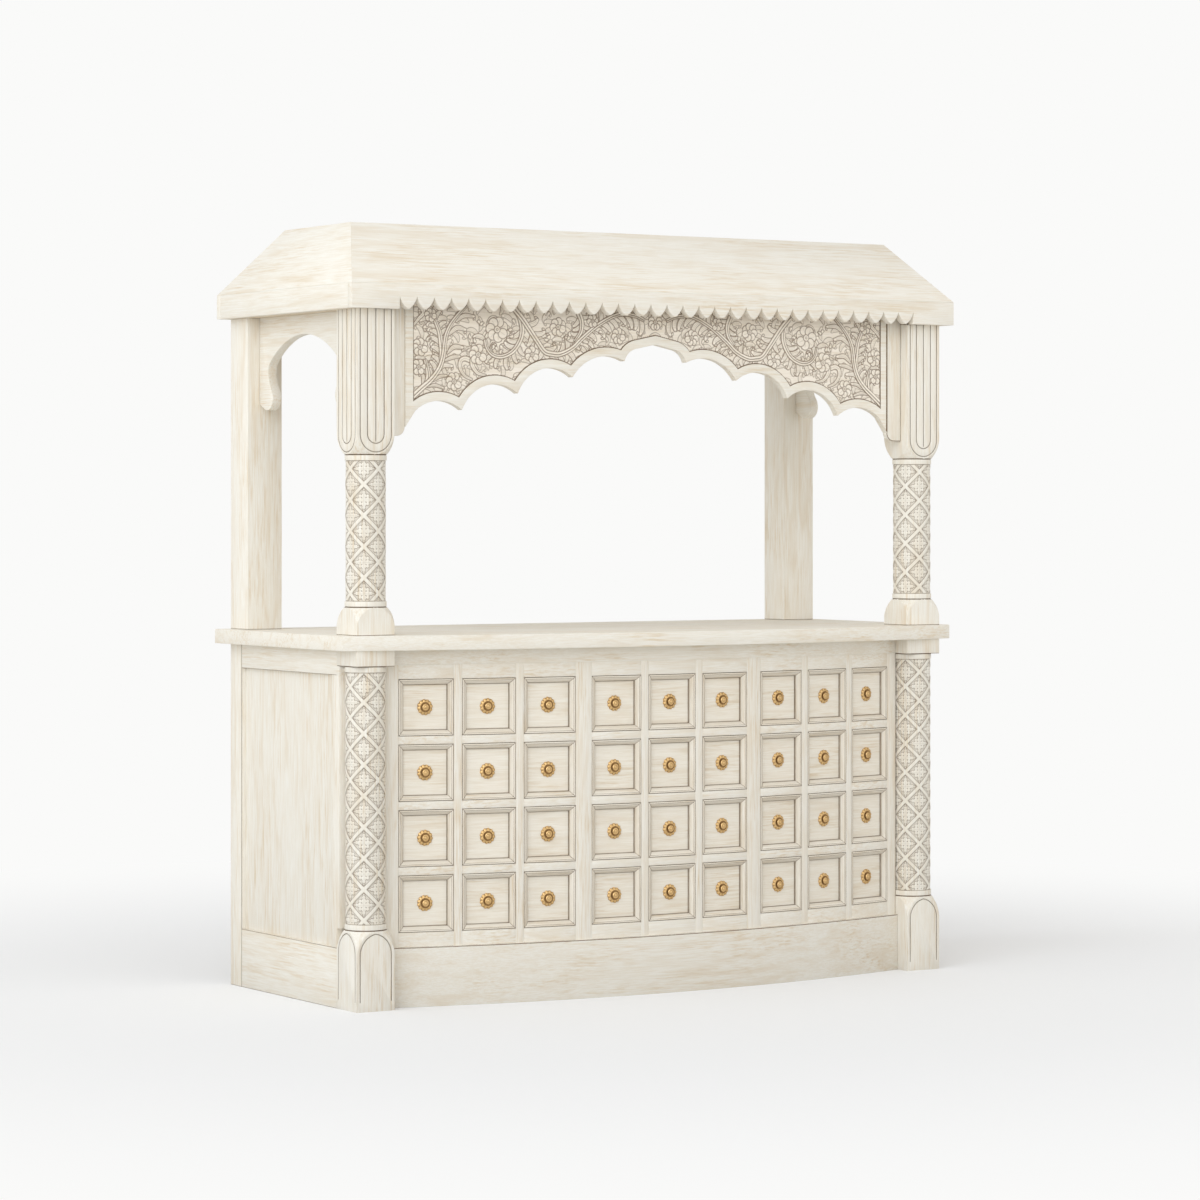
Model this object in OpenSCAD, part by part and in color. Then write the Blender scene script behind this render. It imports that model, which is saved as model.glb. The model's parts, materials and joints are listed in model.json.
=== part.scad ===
// Bar counter with a bowed front of small drawers and a carved canopy on four posts.
// Millimetres. X runs along the counter, Y towards the bartender, Z up from the floor.

/* [Counter] */
// Width over the posts
counter_w = 2016; // [1900:4:2200]
// Depth over the posts, front face to back face
counter_d = 785; // [740:5:900]
// Height of the countertop's upper face
counter_h = 1050; // [1000:5:1120]
// Thickness of the countertop
top_t = 42; // [30:1:55]
// Countertop overhang past the posts at each side
top_side_overhang = 42; // [20:1:60]
// Countertop overhang past the body at the back
top_back_overhang = 20; // [0:1:28]
// Countertop overhang in front of the drawer face, at the middle
top_front_overhang = 63.5; // [40:0.5:80]
// How far the countertop's front corners lie behind the post faces
top_corner_setback = 4; // [0:1:12]

/* [Bowed front] */
// How far the drawer face stands out at the middle, from where it meets the posts
bow = 119.5; // [90:0.5:135]
// Distance from the post faces back to where the drawer face meets the posts
face_setback = 61; // [50:1:66]
// Thickness of the face frame
frame_t = 25; // [20:1:28]
// Height of the plinth
plinth_h = 168; // [140:1:190]
// Thickness of the plinth
plinth_t = 26; // [18:1:30]
// How far the plinth stands out in front of the face frame
plinth_proud = 10; // [4:1:14]
// Height of the rail under the countertop
top_rail_h = 43; // [30:1:60]
// Width of the stiles between drawers
stile_w = 25.4; // [23:0.1:30]
// Width of the stiles between the three groups of drawers
group_stile_w = 52.3; // [48:0.1:65]
// Width of the stiles beside the posts
end_stile_w = 41.5; // [36:0.5:55]
// Height of the rails between drawer rows
rail_h = 24; // [22:1:30]
// Height of the rail above the first row
first_rail_h = 41; // [25:1:50]
// Height of the rail below the last row
bottom_rail_h = 41.5; // [30:0.5:50]

/* [Drawers] */
// Depth of a drawer, front to back
drawer_depth = 300; // [240:5:330]
// Gap round a drawer front
front_gap = 1; // [0.8:0.1:1.5]
// Depth from the front edge of a drawer to its recessed panel
panel_recess = 15; // [12:1:18]
// Thickness of the recessed panel
front_panel_t = 10; // [8:1:14]
// Width of the mitred moulding round the panel
moulding_w = 14.5; // [12:0.5:20]
// Flat edge of the moulding
moulding_flat = 4.5; // [2:0.5:6]
// Depth of the moulding's bevel
moulding_drop = 9; // [6:1:11]
// Space between a drawer box and the sides of its opening
box_side_gap = 6; // [5:0.5:8]
// Height of the drawer box
box_h = 136; // [100:1:140]
// Thickness of the drawer's sides and back
box_wall = 10; // [8:1:12]
// Thickness of the drawer's bottom
box_bottom_t = 6; // [4:1:9]
// Height of the drawer's bottom above the lower edge of its sides
box_bottom_raise = 5; // [3:1:8]
// Thickness of the boards that the drawers slide on
deck_t = 18; // [15:1:20]
// Width of the guide strips
guide_w = 7; // [5:0.5:8]
// Height of the guide strips
guide_h = 18; // [12:1:25]
// Thickness of the upright boards of the drawer bay
divider_t = 25; // [18:1:28]

/* [Knobs] */
// Diameter of the brass rosette
rosette_d = 46; // [36:1:56]
// Height of the rosette's dome
rosette_h = 6; // [4:0.5:7]
// Diameter of the knob's head
knob_d = 25; // [20:1:30]
// How far the knob stands out from the recessed panel
knob_reach = 13; // [12:0.5:18]
// Thickness of the rosette's rim
rosette_rim_t = 2; // [1:0.5:3]
// Diameter of the knob's neck
knob_neck_d = 14; // [8:1:16]
// Diameter of the flat front of the knob's head
knob_front_d = 11; // [6:1:14]
// Height of the rounded front of the knob's head
knob_crown_h = 3.5; // [2.5:0.5:4.5]
// Height of the upright edge of the knob's head
knob_edge_h = 1.5; // [1:0.5:2.5]

/* [Lower posts] */
// Width of the square blocks of the posts
post_w = 120; // [118:1:132]
// Diameter of the round shafts
shaft_d = 114; // [100:1:114]
// Diameter of the rings
ring_d = 118; // [115:1:119]
// Height of the rings
ring_h = 16; // [10:1:20]
// Height of the base block
base_block_h = 225; // [210:1:260]
// Height at which the base block's corners start to curve in
base_spring_h = 158; // [140:1:170]
// Height of the block under the countertop
head_block_h = 45; // [30:1:60]
// Height of the carved arch's foot on the base block
base_arch_foot = 27; // [15:1:40]
// Depth of the carved arch's point below the top of the base block
base_arch_drop = 7.5; // [5:0.5:12]

/* [Upper columns] */
// Height of the column's bell base
bell_h = 79.5; // [60:0.5:100]
// Height of the bell base's upright lower part
bell_straight_h = 26; // [15:1:35]
// Height of the capital
capital_h = 408; // [340:1:440]
// Height of the capital's curved lower part
capital_curve_h = 61; // [50:1:70]
// Width of the carved grooves
groove_w = 3; // [2:0.5:4]
// Depth of the carved grooves
groove_depth = 3; // [1.5:0.5:4]
// Distance from the block's edge to the outer groove
outer_groove_in = 9; // [7:1:12]
// Distance from the block's edge to the inner groove
inner_groove_in = 32; // [28:1:38]
// Height of the outer groove's foot above the capital's foot
outer_groove_foot = 6; // [5:1:9]
// Height of the inner groove's foot above the capital's foot
inner_groove_foot = 30; // [26:1:36]
// Height of the centre line's foot above the capital's foot
line_foot = 37; // [35:1:45]
// Width of the square rear posts
rear_post_w = 112; // [90:1:120]

/* [Canopy] */
// Height of the canopy's underside above the countertop
canopy_clear = 914; // [870:1:980]
// Overhang of the eaves past the posts at each side
eave_side = 32; // [28:1:42]
// Overhang of the eaves in front of the posts
eave_front = 31; // [28:1:50]
// Overhang of the eaves behind the posts
eave_back = 28; // [28:1:50]
// Height of the fascia
fascia_h = 70; // [66:1:100]
// Thickness of the fascia
fascia_t = 25; // [18:1:27]
// Width of the beams on the post heads
beam_w = 60; // [45:1:64]
// Height of the beams
beam_h = 50; // [40:1:60]
// Rise of the roof above the fascia
roof_rise = 184; // [120:1:220]
// How far the side slopes run in
roof_side_run = 110; // [80:1:160]
// How far the front slope runs in
roof_front_run = 212; // [160:1:240]
// How far the back slope runs in
roof_back_run = 224; // [160:1:240]
// Thickness of the flat roof board
roof_t = 18; // [12:1:25]
// Number of scallops on the front fascia
scallops = 32; // [24:2:40]
// Depth of the scallops
scallop_depth = 35; // [28:1:42]
// Radius of a scallop's curved sides
scallop_side_r = 58; // [50:1:80]
// How much of a scallop's point is cut off
scallop_blunt = 1.4; // [0.5:0.1:3]

/* [Front arch] */
// Thickness of the arch panel
arch_t = 25; // [18:1:27]
// Distance from the post faces back to the arch panel
arch_setback = 31; // [28:1:36]
// Width of the battens at the panel's ends
cleat_w = 52; // [40:1:70]
// How far the battens lie behind the panel's face
cleat_back = 4; // [2:1:8]
// Height of the lower end of the battens below the canopy
cleat_drop = 354; // [344:1:370]
// Depth of the panel's ends below the canopy
arch_drop = 329; // [315:1:335]
// Width of each side lobe but the one beside the crown, which takes the rest
foil_w = 184; // [176:1:190]
// Half width of the pointed crown lobe
crown_half_w = 107; // [98:1:115]
// Depth of the crown's cusps below the canopy
crown_drop = 130; // [115:1:145]
// Rise of the crown above its cusps
crown_rise = 51; // [44:1:60]
// Radius of the crown's shoulders
shoulder_r = 52; // [48:1:56]
// Depth of the shoulders' centres below the crown's cusps
shoulder_drop = 14; // [8:1:20]
// Rise of each side lobe above the line through its cusps
foil_rise = 48; // [40:1:60]
// Rise of the side lobe beside the crown
first_foil_rise = 35; // [28:1:45]
// Width of the straight end of the last lobe
toe_w = 45; // [30:1:60]
// Slope of the straight end of the last lobe, in degrees
toe_slope = 55; // [50:1:60]
// Width of the plain border along the lobes
border_w = 25; // [20:1:32]
// Depth of the carved field
field_depth = 6; // [3:1:9]
// How far the panel reaches up behind the fascia
arch_tuck = 44; // [42:1:48]

/* [Side arches] */
// Thickness of the side arches
side_arch_t = 28; // [20:1:34]
// Distance from the side of the posts in to the side arches
side_arch_inset = 39; // [34:1:44]
// Depth of the crown of the opening below the canopy
side_crown_drop = 57; // [45:1:75]
// Depth of the widest part of the opening below the canopy
side_haunch_drop = 158; // [145:1:175]
// Depth of the narrow part above the toe below the canopy
side_waist_drop = 236; // [225:1:255]
// Width of the panel beside the widest part of the opening
side_haunch_w = 55; // [48:1:60]
// Width of the panel at the toe
side_toe_w = 84; // [78:1:95]
// Radius of the opening's haunch
haunch_r = 35; // [25:1:45]
// Radius of the rounded toe
toe_r = 36; // [28:1:38]

/* [Body] */
// Thickness of the side and back frames
body_frame_t = 32; // [25:1:40]
// Width of the back stiles of the sides
back_stile_w = 72; // [50:1:90]
// Height of the side frame's upper rail
side_top_rail_h = 71; // [50:1:90]
// Height of the side frame's lower rail
side_bottom_rail_h = 170; // [120:1:200]
// How far the side panels lie behind the frame
panel_inset = 14; // [8:1:18]
// Thickness of the side panels
panel_t = 12; // [8:1:14]
// Thickness of the partition behind the drawers
partition_t = 18; // [12:1:25]
// Thickness of the back frame
back_frame_t = 25; // [18:1:30]
// Width of the back frame's stiles
back_post_w = 60; // [40:1:90]
// Height of the back frame's upper rail
back_top_rail_h = 70; // [50:1:90]
// Height of the back frame's lower rail
back_bottom_rail_h = 100; // [80:1:130]
// Thickness of the shelves
shelf_t = 22; // [18:1:30]
// Height of the middle shelf's lower face
shelf_z = 520; // [450:5:620]

/* [Hidden] */
rows = 4;
groups = 3;
group = 3;
columns = groups * group;

whitewash = [0.92, 0.89, 0.84];
wash_shade = [0.87, 0.83, 0.76];
pale_wood = [0.84, 0.76, 0.63];
brass = [0.74, 0.55, 0.24];

// Spare length of a cutter past the face that it cuts
cut_spare = 5;
// Gap between a drawer box and the deck and guides that it runs on
run_gap = 0.3;
// Gap at a glued joint between two pieces
glue_line = 0.1;
arc_steps = 10;
big_fn = 720;
round_fn = 96;
small_fn = 32;

// The bowed face is a circle through its two meetings with the posts and its middle.
half_w = counter_w / 2;
post_in_x = half_w - post_w;
face_r = (pow(post_in_x, 2) + pow(bow, 2)) / (2 * bow);
face_cy = face_setback - bow + face_r;
face_half_arc = face_r * asin(post_in_x / face_r) * PI / 180;

// The countertop's front edge is a circle through its corners and its middle.
top_half_w = half_w + top_side_overhang;
top_reach = bow - face_setback + top_front_overhang;
top_sag = top_reach + top_corner_setback;
top_r = (pow(top_half_w, 2) + pow(top_sag, 2)) / (2 * top_sag);

// The front post faces lie at front_y, so that the origin is under the middle of the whole.
reach_back = counter_d + max(top_back_overhang, eave_back);
front_y = (top_reach - reach_back) / 2;

under_top_z = counter_h - top_t;
face_h = under_top_z - top_rail_h - plinth_h;
opening_h = (face_h - first_rail_h - bottom_rail_h - (rows - 1) * rail_h) / rows;
opening_w = (2 * face_half_arc - 2 * end_stile_w - (groups - 1) * group_stile_w
    - (columns - groups) * stile_w) / columns;
front_w = opening_w - 2 * front_gap;
front_h = opening_h - 2 * front_gap;
front_inset = 1;
box_w = opening_w - 2 * box_side_gap;
box_y = front_inset + panel_recess + front_panel_t;
box_l = drawer_depth - box_y;

// The partition clears the back corners of the outermost drawers.
end_turn = turn_at(column_s(columns));
drawer_back_y = face_cy + (drawer_depth - face_r) * cos(end_turn) + box_w / 2 * sin(end_turn);
partition_gap = 2;
partition_y = drawer_back_y + partition_gap;

post_x = half_w - post_w / 2;
post_y = post_w / 2;
corner_r = post_w / 2 * sqrt(2);
canopy_z = counter_h + canopy_clear;
fascia_top_z = canopy_z + fascia_h;
eave_x = half_w + eave_side;
eave_y0 = -eave_front;
eave_y1 = counter_d + eave_back;

function turn_at(s) = s / face_r * 180 / PI;
function column_s(c) =
    -face_half_arc + end_stile_w + opening_w / 2 + (c - 1) * (opening_w + stile_w)
    + floor((c - 1) / group) * (group_stile_w - stile_w);
function row_z(r) = plinth_h + bottom_rail_h + (rows - r) * (opening_h + rail_h);
function drawer_name(r, c) = str("drawer_r", r, "_c", c);

// Points on a circle from one angle to another, both included.
function arc(centre, r, from, to, steps = arc_steps) =
    [for (i = [0 : steps]) let (a = from + (to - from) * i / steps)
        [centre[0] + r * cos(a), centre[1] + r * sin(a)]];

// Moves from the origin to the post faces.
module placed() {
    translate([0, front_y, 0]) children();
}

// Copies a piece of the right side to the left side too.
module both_sides() {
    children();
    mirror([1, 0, 0]) children();
}

// Local frame on the bowed face: x along it, y into the counter, z up.
module at_face(s) {
    translate([0, face_cy, 0]) rotate([0, 0, turn_at(s)]) translate([0, -face_r, 0]) children();
}

// Plan of a board that follows the bowed face between the posts.
module face_band(t, proud = 0) {
    intersection() {
        difference() {
            translate([0, face_cy]) circle(r = face_r + proud, $fn = big_fn);
            translate([0, face_cy]) circle(r = face_r + proud - t, $fn = big_fn);
        }
        translate([-post_in_x, -top_reach]) square([2 * post_in_x, top_reach + post_w]);
    }
}

// Plan of one drawer opening, deeper than the face frame on both sides.
module opening_plan(c) {
    translate([0, face_cy]) rotate(turn_at(column_s(c)))
        translate([-opening_w / 2, -face_r - frame_t]) square([opening_w, 3 * frame_t]);
}

// Plan of the drawer bay behind the face frame, up to the partition.
module bay_plan() {
    intersection() {
        translate([0, face_cy]) circle(r = face_r - frame_t, $fn = big_fn);
        translate([-post_in_x, -top_reach]) square([2 * post_in_x, partition_y + top_reach]);
    }
}

// Plan of the four upright boards of the drawer bay, as cutters or as boards.
module divider_strips() {
    for (side = [-1, 1]) {
        s = side * (column_s(columns - group) + (opening_w + group_stile_w) / 2);
        translate([0, face_cy]) rotate(turn_at(s)) translate([-divider_t / 2, -face_r])
            square([divider_t, 2 * drawer_depth]);
        translate([side * (post_in_x - divider_t / 2) - divider_t / 2, -top_reach])
            square([divider_t, partition_y + 2 * top_reach]);
    }
}

module countertop() {
    color(whitewash) placed() translate([0, 0, under_top_z]) linear_extrude(top_t)
        intersection() {
            translate([0, top_r - top_reach]) circle(r = top_r, $fn = big_fn);
            translate([-top_half_w, -2 * top_reach])
                square([2 * top_half_w, counter_d + top_back_overhang + 2 * top_reach]);
        }
}

module plinth() {
    color(whitewash) placed() linear_extrude(plinth_h) face_band(plinth_t, plinth_proud);
}

module top_rail() {
    color(whitewash) placed() translate([0, 0, plinth_h + face_h]) linear_extrude(top_rail_h)
        face_band(frame_t);
}

module front_stiles() {
    color(whitewash) placed() translate([0, 0, plinth_h]) linear_extrude(face_h)
        difference() {
            face_band(frame_t);
            for (c = [1 : columns]) opening_plan(c);
        }
}

// The rails of one level: nine short boards between the stiles.
module rail_level(z, h) {
    translate([0, 0, z]) linear_extrude(h) intersection() {
        face_band(frame_t);
        union() {
            for (c = [1 : columns]) opening_plan(c);
        }
    }
}

module front_rails() {
    color(whitewash) placed() {
        rail_level(plinth_h, bottom_rail_h);
        for (r = [2 : rows]) rail_level(row_z(r) + opening_h, rail_h);
        rail_level(row_z(1) + opening_h, first_rail_h);
    }
}

module drawer_decks() {
    color(pale_wood) placed() for (r = [1 : rows])
        translate([0, 0, row_z(r) - deck_t]) linear_extrude(deck_t) difference() {
            bay_plan();
            divider_strips();
        }
}

// Two strips for each drawer, parallel to its way out.
module drawer_guides() {
    guide_x = box_w / 2 + run_gap;
    guide_y = frame_t + box_side_gap;
    guide_l = drawer_depth - guide_y - 2 * box_side_gap;
    color(pale_wood) placed() for (r = [1 : rows], c = [1 : columns])
        translate([0, 0, row_z(r)]) at_face(column_s(c)) both_sides()
            translate([guide_x, guide_y, 0]) cube([guide_w, guide_l, guide_h]);
}

module bay_dividers() {
    color(pale_wood) placed() linear_extrude(under_top_z) intersection() {
        bay_plan();
        divider_strips();
    }
}

module partition() {
    color(pale_wood) placed() translate([body_frame_t - half_w, partition_y, 0])
        cube([counter_w - 2 * body_frame_t, partition_t, under_top_z]);
}

// Block whose corners are cut by a surface of revolution: square there, round here.
// The profile's points run up from the block's foot; the block starts at z = 0.
module square_to_round(h, profile) {
    intersection() {
        translate([-post_w / 2, -post_w / 2, 0]) cube([post_w, post_w, h]);
        rotate_extrude($fn = round_fn) polygon(profile);
    }
}

// The turned curve starts a little outside the block's corners and before their spring line.
lead_r = corner_r + 1;
lead_h = 12;

// Radius of a curve that leaves the upright dr outside its other end, at a height of dz from it.
function turned_r(dr, dz) = (dr * dr + dz * dz) / (2 * dr);

// Profile of a block from its corners' spring line up to a round neck at its top.
function neck_up(spring, h, neck_r) =
    let (z0 = spring - lead_h, r = turned_r(lead_r - neck_r, h - z0), free_r = lead_r + cut_spare)
    concat([[0, 0], [free_r, 0], [free_r, z0]],
        arc([lead_r - r, z0], r, 0, asin((h - z0) / r)), [[0, h]]);

// The same, upside down: a round neck at its foot and square from the spring line up.
function neck_down(curve_h, h, neck_r) =
    let (z1 = curve_h + lead_h, r = turned_r(lead_r - neck_r, z1), free_r = lead_r + cut_spare)
    concat([[0, 0]], arc([lead_r - r, z1], r, -asin(z1 / r), 0),
        [[free_r, z1], [free_r, h], [0, h]]);

// A closed groove outline that is cut groove_depth into a block's face at x = post_w / 2.
module cut_in_face() {
    translate([post_w / 2 - groove_depth, 0, 0]) rotate([90, 0, 90])
        linear_extrude(2 * groove_depth) children();
}

// Points of a line from a left foot at y = 0 up over a point and down to a right foot, drawn in
// by inset.
function pointed_line(w, spring, apex, inset) =
    let (
        rise = apex - spring,
        r = (w * w / 4 + rise * rise) / w,
        top = acos((r - w / 2) / (r - inset)),
        half = concat([[inset - w / 2, 0]], arc([r - w / 2, spring], r - inset, 180, 180 - top)))
    concat(half, [for (i = [len(half) - 2 : -1 : 0]) [-half[i][0], half[i][1]]]);

// Outline of a tongue with a round foot at foot_z, open at the top.
module tongue(w, foot_z, top_z) {
    translate([0, foot_z + w / 2]) circle(d = w, $fn = round_fn);
    translate([-w / 2, foot_z + w / 2]) square([w, top_z - foot_z - w / 2]);
}

// One lower post, its outer side towards +X.
module lower_post() {
    arch_w = post_w - 2 * outer_groove_in;
    arch_spring = base_spring_h - base_arch_foot;
    arch_apex = base_block_h - base_arch_drop - base_arch_foot;
    outer = pointed_line(arch_w, arch_spring, arch_apex, 0);
    inner = pointed_line(arch_w, arch_spring, arch_apex, groove_w);
    shaft_z = base_block_h + ring_h;
    head_z = under_top_z - head_block_h;
    difference() {
        square_to_round(base_block_h, neck_up(base_spring_h, base_block_h, ring_d / 2));
        for (turn = [-90, 0]) rotate([0, 0, turn]) translate([0, 0, base_arch_foot])
            cut_in_face() polygon(concat(outer, [for (i = [len(inner) - 1 : -1 : 0]) inner[i]]));
    }
    translate([0, 0, base_block_h]) cylinder(d = ring_d, h = ring_h, $fn = round_fn);
    translate([0, 0, shaft_z])
        cylinder(d = shaft_d, h = head_z - ring_h - shaft_z, $fn = round_fn);
    translate([0, 0, head_z - ring_h]) cylinder(d = ring_d, h = ring_h, $fn = round_fn);
    translate([-post_w / 2, -post_w / 2, head_z]) cube([post_w, post_w, head_block_h]);
}

module lower_posts() {
    color(whitewash) placed() both_sides() translate([post_x, post_y, 0]) lower_post();
}

// The nested grooves of one capital face: two tongues and a centre line.
module flutes() {
    outer_w = post_w - 2 * outer_groove_in;
    inner_w = post_w - 2 * inner_groove_in;
    difference() {
        tongue(outer_w, outer_groove_foot, capital_h);
        tongue(outer_w - 2 * groove_w, outer_groove_foot + groove_w, capital_h);
    }
    difference() {
        tongue(inner_w, inner_groove_foot, capital_h);
        tongue(inner_w - 2 * groove_w, inner_groove_foot + groove_w, capital_h);
    }
    translate([-groove_w / 2, line_foot]) square([groove_w, capital_h - line_foot]);
}

module upper_column() {
    shaft_z = bell_h + ring_h;
    capital_z = canopy_clear - capital_h;
    square_to_round(bell_h, neck_up(bell_straight_h, bell_h, ring_d / 2));
    translate([0, 0, bell_h]) cylinder(d = ring_d, h = ring_h, $fn = round_fn);
    translate([0, 0, shaft_z])
        cylinder(d = shaft_d, h = capital_z - ring_h - shaft_z, $fn = round_fn);
    translate([0, 0, capital_z - ring_h]) cylinder(d = ring_d, h = ring_h, $fn = round_fn);
    translate([0, 0, capital_z]) difference() {
        square_to_round(capital_h, neck_down(capital_curve_h, capital_h, ring_d / 2));
        for (turn = [-90, 0]) rotate([0, 0, turn]) cut_in_face() flutes();
    }
}

module upper_columns() {
    color(whitewash) placed() both_sides() translate([post_x, post_y, counter_h]) upper_column();
}

module rear_posts() {
    color(whitewash) placed() both_sides()
        translate([half_w - rear_post_w, counter_d - rear_post_w, counter_h])
            cube([rear_post_w, rear_post_w, canopy_clear]);
}

module side_frames() {
    rail_l = counter_d - post_w - back_stile_w - glue_line;
    color(whitewash) placed() both_sides() translate([half_w - body_frame_t, 0, 0]) {
        translate([0, post_w, 0]) cube([body_frame_t, rail_l, side_bottom_rail_h]);
        translate([0, post_w, under_top_z - side_top_rail_h])
            cube([body_frame_t, rail_l, side_top_rail_h]);
        translate([0, counter_d - back_stile_w, 0])
            cube([body_frame_t, back_stile_w, under_top_z]);
    }
}

module side_panels() {
    color(wash_shade) placed() both_sides()
        translate([half_w - panel_inset - panel_t, post_w, side_bottom_rail_h])
            cube([panel_t, counter_d - post_w - back_stile_w,
                under_top_z - side_top_rail_h - side_bottom_rail_h]);
}

module back_frame() {
    in_w = counter_w - 2 * body_frame_t;
    rail_w = in_w - 2 * back_post_w - 2 * glue_line;
    color(whitewash) placed() translate([0, counter_d - back_frame_t, 0]) {
        translate([-rail_w / 2, 0, 0]) cube([rail_w, back_frame_t, back_bottom_rail_h]);
        translate([-rail_w / 2, 0, under_top_z - back_top_rail_h])
            cube([rail_w, back_frame_t, back_top_rail_h]);
        both_sides() translate([in_w / 2 - back_post_w, 0, 0])
            cube([back_post_w, back_frame_t, under_top_z]);
    }
}

// Both shelves run from the partition to the back frame.
module shelves() {
    y0 = partition_y + partition_t;
    in_w = counter_w - 2 * body_frame_t;
    color(pale_wood) placed() for (z = [back_bottom_rail_h - shelf_t, shelf_z])
        translate([-in_w / 2, y0, z]) cube([in_w, counter_d - back_frame_t - y0, shelf_t]);
}

// The arch opening's side lobes are discs through their two cusps, from the crown outwards.
arch_half_w = post_in_x - cleat_w;
arch_foils = 4;
foil_drop = (arch_drop - crown_drop) / arch_foils;
function cusp(i) =
    [i == 0 ? crown_half_w : arch_half_w - (arch_foils - i) * foil_w, -crown_drop - i * foil_drop];
function foil_top(i) = i == 0 ? first_foil_rise : foil_rise;
function foil_chord(i) = norm(cusp(i + 1) - cusp(i));
function foil_r(i) = (pow(foil_chord(i) / 2, 2) + pow(foil_top(i), 2)) / (2 * foil_top(i));
function foil_centre(i) =
    let (along = (cusp(i + 1) - cusp(i)) / foil_chord(i))
    (cusp(i) + cusp(i + 1)) / 2 - (foil_r(i) - foil_top(i)) * [-along[1], along[0]];

// The crown is two round shoulders under two straight slopes that meet in a point.
shoulder_c =
    [crown_half_w - sqrt(pow(shoulder_r, 2) - pow(shoulder_drop, 2)), -crown_drop - shoulder_drop];
crown_apex = [0, crown_rise - crown_drop];

// The angle on the shoulder's circle of radius r at which a slope from apex touches it.
function slope_touch(apex, r) =
    let (to_apex = apex - shoulder_c)
    atan2(to_apex[1], to_apex[0]) - acos(r / norm(to_apex));

crown_slope = 90 - slope_touch(crown_apex, shoulder_r);

// Right half of the crown, grown outwards by g: each slope touches its shoulder's arc.
function crown_half(g) =
    let (
        apex = crown_apex + [0, g / cos(crown_slope)],
        r = shoulder_r + g,
        end = g > 0 ? 0 : asin(shoulder_drop / shoulder_r),
        foot = cusp(0)[1] - cut_spare)
    concat([[0, foot], apex], arc(shoulder_c, r, slope_touch(apex, r), end),
        [[shoulder_c[0] + r * cos(end), foot]]);

// The opening under the arch, grown outwards by g. Its y = 0 is the canopy's underside.
module arch_opening(g = 0) {
    foot = -2 * arch_drop;
    both_sides_flat() {
        polygon(concat([[0, foot], [0, cusp(0)[1] + g]],
            [for (i = [0 : arch_foils]) cusp(i) + [0, g / 2]],
            [[arch_half_w + foil_w, cusp(arch_foils)[1] + g / 2], [arch_half_w + foil_w, foot]]));
        for (i = [0 : arch_foils - 1])
            translate(foil_centre(i)) circle(r = foil_r(i) + g, $fn = round_fn);
        polygon(crown_half(g));
    }
}

module both_sides_flat() {
    children();
    mirror([1, 0]) children();
}

// The straight ends of the last lobes, which narrow the opening at its feet.
module arch_toes() {
    toe_h = toe_w * tan(toe_slope);
    both_sides_flat() translate([arch_half_w, -arch_drop])
        polygon([[0, 0], [toe_w, 0], [toe_w, toe_h], [-toe_w, toe_h]]);
}

module arch_panel() {
    field_half_w = arch_half_w - border_w;
    color(whitewash) placed() translate([0, arch_setback, canopy_z]) difference() {
        translate([0, arch_t, 0]) rotate([90, 0, 0]) linear_extrude(arch_t) difference() {
            translate([-arch_half_w, -arch_drop])
                square([2 * arch_half_w, arch_drop + arch_tuck]);
            difference() {
                arch_opening();
                arch_toes();
            }
        }
        translate([0, field_depth, 0]) rotate([90, 0, 0]) linear_extrude(2 * field_depth)
            difference() {
                translate([-field_half_w, -arch_drop])
                    square([2 * field_half_w, 2 * arch_drop]);
                arch_opening(border_w);
            }
    }
}

// The battens reach below the panel with a foot that is rounded towards the opening.
module arch_cleats() {
    foot_r = cleat_drop - arch_drop;
    color(whitewash) placed() both_sides()
        translate([0, arch_setback + arch_t, canopy_z]) rotate([90, 0, 0])
            linear_extrude(arch_t - cleat_back) polygon(concat(
                [[arch_half_w, arch_tuck]],
                arc([arch_half_w + foot_r, -arch_drop], foot_r, 180, 270),
                [[post_in_x, -cleat_drop], [post_in_x, arch_tuck]]));
}

// Outline of a side arch: y = 0 is the canopy's underside, x = 0 the middle of the opening.
module side_arch_outline(half_span) {
    haunch_x = half_span - side_haunch_w;
    toe_x = half_span - side_toe_w + toe_r;
    rise = side_haunch_drop - side_crown_drop;
    crown_r = (pow(haunch_x - haunch_r, 2) + rise * rise - pow(haunch_r, 2))
        / (2 * (rise - haunch_r));
    crown_cy = -side_crown_drop - crown_r;
    join = atan2(-side_haunch_drop - crown_cy, haunch_x - haunch_r);
    waist_x = haunch_x - side_toe_w + side_haunch_w;
    in_x = haunch_x - waist_x;
    fall = side_waist_drop - side_haunch_drop;
    under_r = (in_x * in_x + fall * fall) / (2 * in_x) - toe_r;
    bend = asin(fall / (under_r + toe_r));
    toe_end = 300;
    half = concat(
        [[0, 0]],
        arc([0, crown_cy], crown_r, 90, join, 2 * arc_steps),
        arc([haunch_x - haunch_r, -side_haunch_drop], haunch_r, join, 0),
        arc([haunch_x - under_r, -side_haunch_drop], under_r, 0, -bend),
        arc([toe_x, -side_waist_drop], toe_r, 180 - bend, toe_end),
        [[half_span, -side_waist_drop - toe_r / 2], [half_span, 0]]);
    both_sides_flat() polygon(half);
}

module side_arches() {
    y0 = post_w;
    y1 = counter_d - rear_post_w;
    color(whitewash) placed() both_sides()
        translate([half_w - side_arch_inset - side_arch_t, (y0 + y1) / 2, canopy_z])
            rotate([90, 0, 90]) linear_extrude(side_arch_t) side_arch_outline((y1 - y0) / 2);
}

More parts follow.
